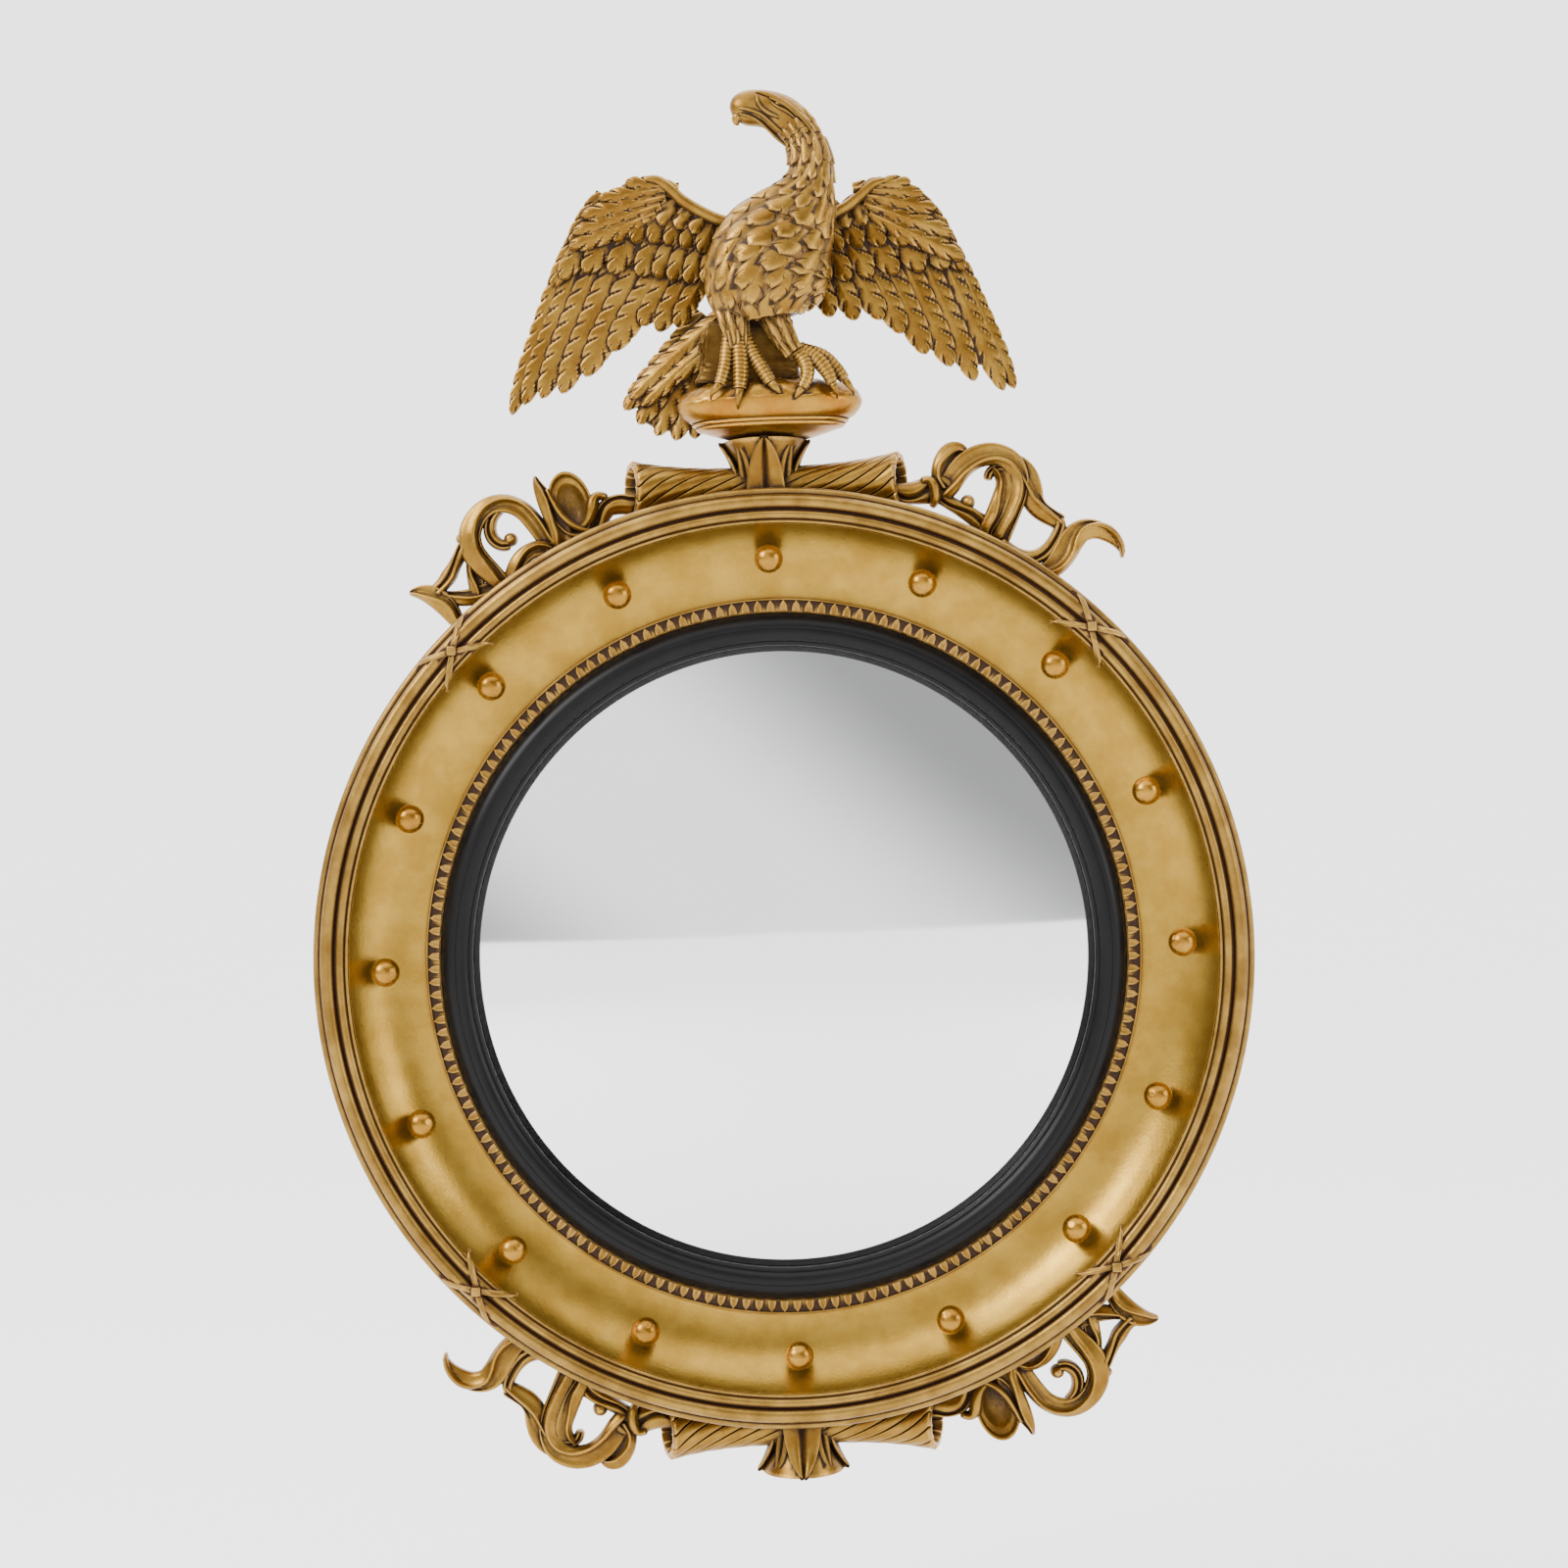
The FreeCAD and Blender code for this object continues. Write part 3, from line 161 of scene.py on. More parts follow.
def points_of(piece):
    spots = np.empty(len(piece.data.vertices) * 3, np.float32)
    piece.data.vertices.foreach_get("co", spots)
    return spots.reshape(-1, 3).astype(float)


def move_points(piece, spots):
    piece.data.vertices.foreach_set("co", np.asarray(spots, np.float32).ravel())
    piece.data.update()


def copied(piece, name, move=Matrix.Identity(4)):
    """A copy with its own mesh, moved in its mesh."""
    copy = piece.copy()
    copy.data = piece.data.copy()
    copy.name = name
    copy.data.name = name
    copy.data.transform(move)
    bpy.context.collection.objects.link(copy)
    return copy


def gathered(pieces, name):
    """Join several pieces into one."""
    put_down()
    for piece in pieces:
        piece.select_set(True)
    bpy.context.view_layer.objects.active = pieces[0]
    if len(pieces) > 1:
        bpy.ops.object.join()
    pieces[0].name = name
    pieces[0].data.name = name
    put_down()
    return pieces[0]


def turned_by(angle, axis="Y", centre=MIDDLE):
    """A turn, in degrees, about a centre in metres. About Y it runs clockwise for the viewer."""
    return Matrix.Translation(centre) @ Matrix.Rotation(math.radians(angle), 4,
                                                        axis) @ Matrix.Translation(-centre)


def finished(piece, finish, nodes=(), slot="gilding", body="mirror"):
    """Give a piece its finish, its body and the solids that it stands for."""
    piece.data.materials.clear()
    piece.data.materials.append(finish)
    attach(piece, body)
    if nodes:
        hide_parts(*nodes)
    if slot == "gilding":
        gilded.append(piece)
    return piece


def arc(start, finish, rise, steps):
    """Points of (radius, depth) along an arc, without its finish. A positive rise swells to the left."""
    a, b = Vector(start), Vector(finish)
    chord = b - a
    radius = (chord.length ** 2 / 4 + rise ** 2) / (2 * abs(rise))
    left = Vector((-chord.y, chord.x)).normalized()
    centre = (a + b) / 2 + left * (rise - math.copysign(radius, rise))
    sweep = 2 * math.asin(min(1.0, chord.length / 2 / radius))
    sweep = -sweep if rise > 0 else sweep
    arm = a - centre
    spots = []
    for step in range(steps):
        turn = sweep * step / steps
        c, s = math.cos(turn), math.sin(turn)
        spots.append((centre.x + arm.x * c - arm.y * s, centre.y + arm.x * s + arm.y * c))
    return spots


def drawn(name, corners):
    """Draw a line of points, from (radius, depth) corners above the middle, by extruding one point."""
    put_down()
    bpy.ops.mesh.primitive_plane_add(size=MM, location=at(0, corners[0][1], corners[0][0]))
    piece = named(name)
    open_all(piece)
    bpy.ops.mesh.merge(type="CENTER")
    for before, after in zip(corners, corners[1:]):
        step = at(0, after[1], after[0]) - at(0, before[1], before[0])
        bpy.ops.mesh.extrude_region_move(TRANSFORM_OT_translate={"value": step})
    return piece


def spun(name, corners, steps=AROUND, closed=True):
    """Turn a section once round the mirror's axis."""
    piece = drawn(name, corners)
    if closed:
        put_down()
        piece.data.vertices[0].select = True
        piece.data.vertices[len(corners) - 1].select = True
        take_up(piece)
        bpy.ops.object.mode_set(mode="EDIT")
        bpy.ops.mesh.edge_face_add()
    bpy.ops.mesh.select_all(action="SELECT")
    bpy.ops.mesh.spin(steps=steps, angle=math.tau, center=MIDDLE, axis=FRONT_AXIS)
    return sealed(piece)


# ---------------------------------------------------------------- finishes


class Wire:
    """A socket in a finish, so that sums on it can be written as they are said."""

    def __init__(self, recipe, socket):
        self.recipe = recipe
        self.socket = socket

    def sum(self, operation, first, second=None, third=None):
        values = {index: value for index, value in enumerate((first, second, third)) if value is not None}
        return self.recipe.node("ShaderNodeMath", {"operation": operation}, values)

    def __add__(self, other):
        return self.sum("ADD", self, other)

    __radd__ = __add__

    def __mul__(self, other):
        return self.sum("MULTIPLY", self, other)

    __rmul__ = __mul__

    def __sub__(self, other):
        return self.sum("SUBTRACT", self, other)

    def __rsub__(self, other):
        return self.sum("SUBTRACT", other, self)

    def __truediv__(self, other):
        return self.sum("DIVIDE", self, other)

    def __pow__(self, other):
        return self.sum("POWER", self, other)


class Recipe:
    """One finish: a material with its shader, and the nodes that feed it."""

    def __init__(self, name):
        self.material = bpy.data.materials.new(name)
        self.material.use_nodes = True
        self.tree = self.material.node_tree
        self.shader = self.tree.nodes["Principled BSDF"]

    def node(self, kind, settings=None, inputs=None, output=0):
        """Add a node: its settings first, then the numbers or wires of its sockets."""
        made = self.tree.nodes.new(kind)
        for name, value in (settings or {}).items():
            if name == "stops":
                self.set_stops(made.color_ramp, value)
            else:
                setattr(made, name, value)
        for socket, value in (inputs or {}).items():
            if isinstance(value, Wire):
                self.tree.links.new(value.socket, made.inputs[socket])
            else:
                made.inputs[socket].default_value = value
        return Wire(self, made.outputs[output])

    def set_stops(self, ramp, stops):
        while len(ramp.elements) < len(stops):
            ramp.elements.new(0.5)
        for element, (place, colour) in zip(ramp.elements, stops):
            element.position = place
            element.color = (*colour, 1.0)

    def place(self):
        return self.node("ShaderNodeTexCoord", output="Object")

    def noise(self, scale, detail=2.0, roughness=0.5, where=None, stretch=None):
        """Cloudy variation, its scale in blotches to the metre."""
        where = where or self.place()
        if stretch:
            where = self.node("ShaderNodeMapping", inputs={"Vector": where, "Scale": stretch})
        inputs = {"Vector": where, "Scale": scale, "Detail": detail, "Roughness": roughness}
        return self.node("ShaderNodeTexNoise", inputs=inputs)

    def between(self, value, low, high):
        """0 below low, 1 above high, and smooth in between."""
        inputs = {"Value": value, "From Min": low, "From Max": high}
        return self.node("ShaderNodeMapRange", {"interpolation_type": "SMOOTHSTEP"}, inputs)

    def marked(self, name):
        return self.node("ShaderNodeAttribute", {"attribute_name": name}, output="Fac")

    def blended(self, share, first, second):
        """Mix two colours; first where share is 0."""
        first = (*first, 1.0) if isinstance(first, tuple) else first
        second = (*second, 1.0) if isinstance(second, tuple) else second
        inputs = {0: share, 6: first, 7: second}
        return self.node("ShaderNodeMix", {"data_type": "RGBA"}, inputs, output=2)

    def feed(self, socket, value):
        if isinstance(value, Wire):
            self.tree.links.new(value.socket, self.shader.inputs[socket])
        else:
            self.shader.inputs[socket].default_value = value

    def carve(self, height, strength, distance):
        """Feed a bump."""
        inputs = {"Height": height, "Strength": strength, "Distance": distance}
        self.feed("Normal", self.node("ShaderNodeBump", inputs=inputs))


SLIT_PITCH = 13.0
SLIT_SLANT = 0.85


def gold_leaf(name, bright, deep, hollow, rough=0.32, wear=0.3, quills=False, speckle=0.5,
              toning_and_shade_span=(0.07, 0.46)):
    """Water gilding over red clay, brown in the hollows partly as real toning and partly as painted shade,
    with a painted highlight on the high places.
    """
    recipe = Recipe(name)
    recess = recipe.marked("recess")
    ridge = recipe.marked("ridge")
    clouds = recipe.noise(38.0, 4.0, 0.6)
    fine = recipe.noise(420.0, 3.0, 0.65)
    specks = recipe.noise(900.0, 1.0, 0.5)
    tone = recipe.between(clouds, 0.32, 0.7)
    colour = recipe.blended(tone, deep, bright)
    # Toward the hollows and under other parts the gold goes to the hollow colour: partly real toning, partly
    # painted shade from the recess mark.
    toning_and_shade = recipe.between(recess + (fine - 0.5) * 0.2 + (clouds - 0.5) * 0.16, *toning_and_shade_span)
    colour = recipe.blended(toning_and_shade, colour, hollow)
    # Painted highlight: a lighter gold laid along the ridges.
    rubbed_and_painted_highlight = recipe.between(ridge + (fine - 0.5) * 0.6, 0.28, 0.8)
    lit = tuple(min(1.0, value * 1.9 + 0.014) for value in bright)
    colour = recipe.blended(rubbed_and_painted_highlight * (1.0 - toning_and_shade * 0.6) * 0.65, colour, lit)
    clay = recipe.between(fine + ridge * 0.35 + (clouds - 0.5) * 0.5, 0.72, 0.86) * wear
    colour = recipe.blended(clay, colour, (0.17, 0.05, 0.02))
    dots = recipe.between(specks, 0.74, 0.8) * speckle
    colour = recipe.blended(dots, colour, (0.1, 0.045, 0.015))
    if quills:
        along = recipe.marked("along")
        across = recipe.marked("across")
        barb = recipe.node("ShaderNodeMath", {"operation": "ABSOLUTE"}, {0: across})
        comb = recipe.node("ShaderNodeMath", {"operation": "FRACT"}, {0: along * 0.62 + barb * 1.3})
        comb = recipe.node("ShaderNodeMath", {"operation": "PINGPONG"}, {0: comb, 1: 0.5})
        right = recipe.node("ShaderNodeMath", {"operation": "GREATER_THAN"}, {0: across, 1: 0.0})
        saw = recipe.node("ShaderNodeMath", {"operation": "FRACT"},
                          {0: along / SLIT_PITCH - barb * SLIT_SLANT + right * 0.5})
        away = recipe.node("ShaderNodeMath", {"operation": "ABSOLUTE"}, {0: saw - 0.5})
        nick = recipe.between(barb * 0.11 - away, 0.0, 0.03) * recipe.between(barb, 0.22, 0.45)
        # The slits are carved by the bump and painted with the hollow colour, as painted shade in the cut.
        colour = recipe.blended(nick * 0.92, colour, hollow)
        height = comb * 0.3 + fine * 0.5 - nick * 2.0
        recipe.carve(height, 0.5, 0.0006)
    else:
        recipe.carve(fine * 0.7 + clouds * 0.6, 0.28, 0.0007)
    recipe.feed("Base Color", colour)
    recipe.feed("Metallic", (1.0 - toning_and_shade * 0.8) * (1.0 - clay) * 0.9)
    recipe.feed("Roughness", toning_and_shade * 0.24 + clay * 0.25 + fine * 0.16 + rough - 0.08)
    recipe.shader.inputs["Specular IOR Level"].default_value = 0.22
    return recipe.material


BRIGHT = (0.27, 0.152, 0.026)
DEEP = (0.155, 0.072, 0.010)
HOLLOW = (0.020, 0.0072, 0.0016)

# In each gilding the hollow colour, laid by the recess mark, is partly real toning and partly painted shade.
carved_gold = gold_leaf("gilt carving", BRIGHT, DEEP, HOLLOW, toning_and_shade_span=(0.05, 0.42))
feather_gold = gold_leaf("gilt feathers", BRIGHT, DEEP, HOLLOW, rough=0.33, quills=True, toning_and_shade_span=(0.04, 0.38))
# The stump's gilding is a darker copy of the gilt: painted shade under the eagle's body.
shaded_stump_gold = gold_leaf("gilt stump", (0.12, 0.066, 0.013), (0.06, 0.026, 0.005), HOLLOW, rough=0.42)
cove_gold = gold_leaf("burnished cove", (0.33, 0.198, 0.030), (0.255, 0.142, 0.018), (0.13, 0.036, 0.003),
                      rough=0.30,
                      wear=0.04, speckle=0.35, toning_and_shade_span=(0.2, 0.75))
reed_gold = gold_leaf("rubbed reeds", (0.29, 0.172, 0.036), (0.16, 0.084, 0.016), (0.035, 0.011, 0.002),
                      rough=0.34,
                      wear=0.5, toning_and_shade_span=(0.08, 0.42))
ball_gold = gold_leaf("gilt balls", (0.34, 0.175, 0.024), (0.23, 0.105, 0.012), (0.08, 0.025, 0.003),
                      rough=0.26,
                      toning_and_shade_span=(0.22, 0.7))


def black_slip():
    recipe = Recipe("ebonised slip")
    haze = recipe.noise(60.0, 5.0)
    recipe.feed("Base Color", recipe.blended(haze, (0.0035, 0.0033, 0.0035), (0.0062, 0.0058, 0.006)))
    recipe.feed("Roughness", haze * 0.16 + 0.24)
    recipe.shader.inputs["Specular IOR Level"].default_value = 0.12
    recipe.carve(recipe.noise(700.0, 3.0), 0.1, 0.0002)
    return recipe.material


def silvered_glass():
    recipe = Recipe("silvered glass")
    mist = recipe.noise(9.0, 3.0)
    recipe.feed("Base Color", recipe.blended(mist, (0.80, 0.81, 0.82), (0.84, 0.845, 0.85)))
    recipe.feed("Metallic", 1.0)
    recipe.feed("Roughness", mist * 0.03 + 0.035)
    return recipe.material


slip_black = black_slip()
glass_silver = silvered_glass()

# ---------------------------------------------------------------- rings, slip and glass

cove_section = [(251.5, RING_FRONT), (330.0, RING_FRONT), (330.0, REED_BACK), (COVE_EDGE, REED_BACK)]
cove_section += arc((COVE_EDGE, COVE_CREST), (LEAF_EDGE, LEAF_SEAT), 9.27, 30)
cove_section += [(LEAF_EDGE, LEAF_SEAT), (251.5, LEAF_SEAT)]
cove = smoothed(spun("cove", cove_section), 30)
finished(cove, cove_gold, ["cove_ring"])

reed_section = [(314.2, 62.3), (338.0, 62.3), (340.0, 64.5)]
reed_section += arc((340.0, 72.6), (335.9, 77.6), -2.0, 8)
reed_section += [(335.9, 77.6), (335.3, 77.3)]
reed_section += arc((334.8, 79.4), (325.0, 79.4), -4.1, 14)
reed_section += [(325.0, 79.4), (324.4, 78.2), (323.6, 78.2)]
reed_section += arc((323.2, 79.8), (317.4, 80.4), -2.9, 9)
reed_section += [(317.4, 80.4), (316.9, 79.8)]
reed_section += arc((316.6, 80.2), (314.2, 79.4), -1.0, 5)
reed_section += [(314.2, 79.4)]
reeds = smoothed(spun("reeded_rim_carved", reed_section), 32)
finished(reeds, reed_gold, ["reeded_rim"])

slip_section = [(227.2, 49.4), (236.3, 46.4), (236.3, 40.0), (251.2, 40.0), (251.2, 50.2)]
slip_section += arc((250.2, 52.0), (240.5, 60.2), -1.6, 10)
slip_section += [(240.5, 60.2), (239.6, 60.0)]
slip_section += arc((239.2, 60.6), (231.0, 58.6), -1.3, 9)
slip_section += [(231.0, 58.6), (230.2, 57.4)]
slip_section += arc((229.8, 57.6), (227.0, 54.2), -0.9, 6)
slip_section += [(227.0, 54.2)]
slip = smoothed(spun("black_slip", slip_section), 28)
finished(slip, slip_black, ["ebonised_slip"], "ebonised_wood")

glass_section = [(0.0, 80.0)]
glass_section += [(0.0, 84.0)]
glass_section += arc((4.0, 83.99), (236.0, 46.0), 9.42, 46)[1:]
glass_section += [(236.0, 46.0), (236.0, 41.8)]
glass_section += arc((235.6, 41.8), (4.0, 79.99), -9.42, 24)
glass_section += [(4.0, 79.99)]
glass = smoothed(spun("convex_plate", glass_section, closed=False), 50)
finished(glass, glass_silver, ["convex_glass"], "silvered_glass")

# ---------------------------------------------------------------- band of leaf tips


def leaf_band():
    """A bed with a thin fillet, which the gilding's toning and painted shade turn dark red-brown, and small
    upright leaf tips side by side on it.
    """
    bed = [(251.5, 46.0), (262.2, 46.0), (262.2, 50.6)]
    bed += arc((261.9, 51.0), (260.7, 51.0), -0.25, 4) + [(260.7, 51.0), (260.4, 49.3), (253.0, 49.6),
                                                          (251.5, 48.6)]
    band = spun("leaf_bed", bed)
    put_down()
    bpy.ops.mesh.primitive_grid_add(x_subdivisions=6, y_subdivisions=5, size=2.0)
    tip = named("leaf_tip")
    spots = points_of(tip)
    shaped = []
    for across, along, _ in spots:
        share = (along + 1) / 2
        width = 3.9 * (1.0 - 0.5 * share ** 2) * math.sqrt(max(0.0,
                                                               1.0 - (max(0.0, share - 0.55) / 0.47) ** 2))
        hollow = 1.3 * math.exp(-(across / 0.42) ** 2) * (1.0 - share ** 3)
        crown = 2.1 * (1.0 - abs(across) ** 3) - hollow
        shaped.append(at(across * width, 49.0 + max(0.0, crown), 252.6 + share * 7.6))
    move_points(tip, shaped)
    tips = [copied(tip, "tip", turned_by(360.0 * index / LEAF_TIPS)) for index in range(1, LEAF_TIPS)]
    return smoothed(gathered([band, tip] + tips, "leaf_tips"), 50)


finished(leaf_band(),
         gold_leaf("leaf tip gilding", (0.3, 0.172, 0.036), (0.17, 0.084, 0.014), (0.026, 0.0095, 0.002),
                                rough=0.36, wear=0.3, toning_and_shade_span=(0.02, 0.3)), ["leaf_tip_band"])

# ---------------------------------------------------------------- balls


def first_ball():
    """A turned ball at the top of the cove, with the small mark of its centre."""
    put_down()
    bpy.ops.mesh.primitive_uv_sphere_add(segments=40, ring_count=24, radius=BALL_RADIUS * MM)
    ball = named("ball")
    open_up(ball)
    bpy.ops.object.mode_set(mode="OBJECT")
    for point in ball.data.vertices:
        point.select = point.co.z > (BALL_RADIUS - 0.02) * MM
    bpy.ops.object.mode_set(mode="EDIT")
    bpy.ops.transform.translate(value=(0, 0, -0.55 * MM))
    put_down()
    slope = math.radians(BALL_SLOPE)
    reach = COVE_RADIUS - BALL_RADIUS - 0.3
    centre = at(0, COVE_CENTRE[1] - reach * math.cos(slope), COVE_CENTRE[0] + reach * math.sin(slope))
    facing = Matrix.Rotation(math.radians(90 + BALL_SLOPE), 4, "X")
    ball.data.transform(Matrix.Translation(centre) @ facing)
    return smoothed(ball, 60)


top_ball = first_ball()
for index in range(BALL_COUNT):
    ball = copied(top_ball, f"gilt_ball_{index + 1:02d}", turned_by(360.0 * index / BALL_COUNT))
    finished(ball, ball_gold, [f"ball_{index + 1:02d}"])
bpy.data.objects.remove(top_ball)

# ---------------------------------------------------------------- ribbon ties


def reed_surface(radius):
    """How far forward the reeds reach at a radius, with a ribbon drawn tight over them."""
    outline = [(309.0, 74.6), (313.4, 79.2), (315.4, 80.9), (320.0, 83.0), (322.5, 82.6), (326.5, 82.7),
               (330.0, 83.6), (334.0, 82.4), (337.0, 79.4), (340.2, 73.4), (340.8, 66.0)]
    return float(np.interp(radius, [spot[0] for spot in outline], [spot[1] for spot in outline]))


def ribbon(lean):
    """One flat ribbon drawn slantwise over the reeds at the top of the rim."""
    put_down()
    bpy.ops.mesh.primitive_grid_add(x_subdivisions=5, y_subdivisions=40, size=2.0)
    band = named("ribbon")
    shaped = []
    for across, along, _ in points_of(band):
        share = (along + 1) / 2
        radius = 309.6 + share * 31.2
        point = min(1.0, share / 0.14)
        half = 3.6 * point
        middle = lean * (share - 0.5) * 49.0
        angle = (middle + across * half) / radius
        rise = reed_surface(radius) + 1.15 - 0.5 * abs(across) ** 3 + 0.35 * math.cos(across * 4.0)
        rise += 0.8 if lean > 0 and abs(share - 0.5) < 0.16 else 0.0
        drop = max(0.0, share - 0.93) / 0.07 * 6.5
        shaped.append(at(radius * math.sin(angle), rise - drop, radius * math.cos(angle)))
    move_points(band, shaped)
    take_up(band)
    bpy.ops.object.modifier_add(type="SOLIDIFY")
    thickness = band.modifiers[-1]
    thickness.thickness = 1.5 * MM
    thickness.offset = -1.0
    bpy.ops.object.modifier_apply(modifier=thickness.name)
    return sealed(band)


def first_tie():
    """Two crossed ribbons and the square boss that pins them."""
    put_down()
    bpy.ops.mesh.primitive_cube_add(size=6.4 * MM, location=at(0, 83.6, 326.0),
                                    rotation=(0, math.radians(45), 0))
    pin = named("pin")
    open_all(pin, "EDGE")
    bpy.ops.mesh.bevel(offset=0.9 * MM, segments=3)
    return smoothed(gathered([ribbon(-1), ribbon(1), pin], "tie"), 35)


top_tie = first_tie()
for index, angle in enumerate((45, 135, 225, 315)):
    tie = copied(top_tie, f"crossed_ribbons_{index + 1}", turned_by(angle))
    finished(tie, reed_gold, [f"ribbon_tie_{index + 1}"])
bpy.data.objects.remove(top_tie)

# ---------------------------------------------------------------- spiral torches


def first_torch():
    """The crest's right torch: a flared rod of eleven ribs that wind towards its mouth. The mouth turns a
    little to the viewer."""
    ribs, facets = 11, 10
    put_down()
    bpy.ops.mesh.primitive_circle_add(vertices=ribs * facets, radius=13.0 * MM,
                                      location=at(10, CREST_DEPTH, TORCH_AXIS),
                                      rotation=(0, math.radians(90), 0))
    torch = named("torch")
    axis = at(0, CREST_DEPTH, TORCH_AXIS)
    shaped = []
    for spot in points_of(torch):
        across, up = spot[1] - axis.y, spot[2] - axis.z
        turn = math.atan2(up, across) / math.tau * ribs
        share = (turn % 1.0) * 2.0 - 1.0
        rib = 0.98 + 0.065 * math.sqrt(max(0.0,
                                           1.0 - share ** 2)) - 0.09 * (1.0 if abs(share) > 0.85 else 0.0)
        shaped.append((spot[0], axis.y + across * rib, axis.z + up * rib))
    move_points(torch, shaped)
    open_all(torch)
    steps = 30
    radii = []
    for step in range(steps + 1):
        share = step / steps
        radii.append(13.0 + 7.4 * share ** 2.6)
    for step in range(steps):
        bpy.ops.mesh.extrude_region_move(TRANSFORM_OT_translate={"value": (88.0 / steps * MM, 0, 0)})
        growth = radii[step + 1] / radii[step]
        bpy.ops.transform.resize(value=(1, growth, growth), center_override=axis)
        bpy.ops.transform.rotate(value=math.radians(360 / 177 * 88 / steps), orient_axis="X",
                                 center_override=axis)
    lip = [(1.4, 0.94), (0.2, 0.83), (-2.0, 0.93), (-6.0, 0.86), (0.0, 0.05)]
    for shift, growth in lip:
        bpy.ops.mesh.extrude_region_move(TRANSFORM_OT_translate={"value": (shift * MM, 0, 0)})
        bpy.ops.transform.resize(value=(1, growth, growth), center_override=axis)
    bpy.ops.mesh.edge_face_add()
    put_down()
    for point in torch.data.vertices:
        point.select = point.co.x < 10.001 * MM
    take_up(torch)
    bpy.ops.object.mode_set(mode="EDIT")
    bpy.ops.mesh.edge_face_add()
    sealed(torch)
    spots = points_of(torch)
    share = np.clip((spots[:, 0] / MM - 55.0) / 42.0, 0, 1)
    spots[:, 0] += (spots[:, 1] - axis.y) * 0.3 * share ** 2
    move_points(torch, spots)
    return smoothed(torch, 50)


right_torch = first_torch()
swing = turned_by(180, centre=at(0, CREST_DEPTH, TORCH_AXIS))
torches = {
    "crest_torch_left": swing,
    "pendant_torch_left": turned_by(180),
    "pendant_torch_right": turned_by(180) @ swing,
}
for label, move in torches.items():
    finished(copied(right_torch, f"fluted_{label}", move), carved_gold, [label])
right_torch.name = "fluted_crest_torch_right"
finished(right_torch, carved_gold, ["crest_torch_right"])

# ---------------------------------------------------------------- carved strands


def smooth_route(stations, spacing=3.4):
    """Stations with more between them, on a smooth line through the ones given."""
    rows = [np.array(row, float) for row in stations]
    rows = [2 * rows[0] - rows[1]] + rows + [2 * rows[-1] - rows[-2]]
    route = []
    for before, here, after, beyond in zip(rows, rows[1:], rows[2:], rows[3:]):
        gap = math.hypot(after[0] - here[0], after[1] - here[1], after[3] - here[3])
        steps = max(1, round(gap / spacing))
        for step in range(steps):
            t = step / steps
            bend = (2 * before - 5 * here + 4 * after - beyond) * t * t
            bend += (3 * here - before - 3 * after + beyond) * t ** 3
            route.append(here + ((after - before) * t + bend) / 2)
    route.append(rows[-2])
    return route


ROUND = [(math.sin(math.tau * step / 12), math.cos(math.tau * step / 12)) for step in range(12)]
STEM = [(-1.05, 0.0), (-0.95, 0.45), (-0.7, 0.8), (-0.35, 0.97), (-0.05, 0.88), (0.12, 0.6), (0.26, 0.6),
        (0.42, 0.84), (0.7, 0.78), (0.95, 0.45), (1.05, 0.0), (0.85, -0.6), (0.35, -0.95), (-0.35, -0.95),
        (-0.85, -0.6)]
LEAFY = [(-1.2, 0.1), (-1.12, 0.45), (-0.9, 0.6), (-0.62, 0.42), (-0.3, 0.4), (-0.06, 0.86), (0.16, 1.0),
         (0.4, 0.8), (0.7, 0.68), (0.98, 0.62), (1.15, 0.35), (1.2, 0.05), (1.0, -0.5), (0.5, -0.9),
         (0.0, -1.0), (-0.5, -0.9), (-1.0, -0.5)]


def strand(name, stations, profile, twist=0.0, spacing=3.4, rounding=1):
    """Extrude a profile through stations of (x, z, half width, depth, half depth), turned along the way."""
    route = smooth_route(stations, spacing)
    put_down()
    x, z, half, depth, thick = route[0]
    centre = at(x, depth, z)
    bpy.ops.mesh.primitive_circle_add(vertices=len(profile), radius=MM, location=centre)
    piece = named(name)
    headings = []
    for index in range(len(route)):
        before, after = route[max(index - 1, 0)], route[min(index + 1, len(route) - 1)]
        headings.append(math.atan2(after[0] - before[0], after[1] - before[1]))
    across = Vector((math.cos(headings[0]), 0, -math.sin(headings[0])))
    forward = Vector((0, -1, 0))
    move_points(piece, [centre + across * (w * half * MM) + forward * (d * thick * MM) for w, d in profile])
    open_all(piece)
    bpy.ops.mesh.edge_face_add()
    for index in range(1, len(route)):
        x, z, wide, depth, deep = route[index]
        step = at(x, depth, z) - centre
        centre = at(x, depth, z)
        bpy.ops.mesh.extrude_region_move(TRANSFORM_OT_translate={"value": step})
        turn = headings[index] - headings[index - 1]
        turn = (turn + math.pi) % math.tau - math.pi
        if abs(turn) > 0.0001:
            bpy.ops.transform.rotate(value=-turn, orient_axis="Y", center_override=centre)
        bpy.ops.transform.resize(value=(wide / half, deep / thick, wide / half), center_override=centre)
        half, thick = wide, deep
    put_down()
    if twist:
        wind(piece, route, headings, twist)
    sealed(piece)
    return softened(piece, rounding) if rounding else piece


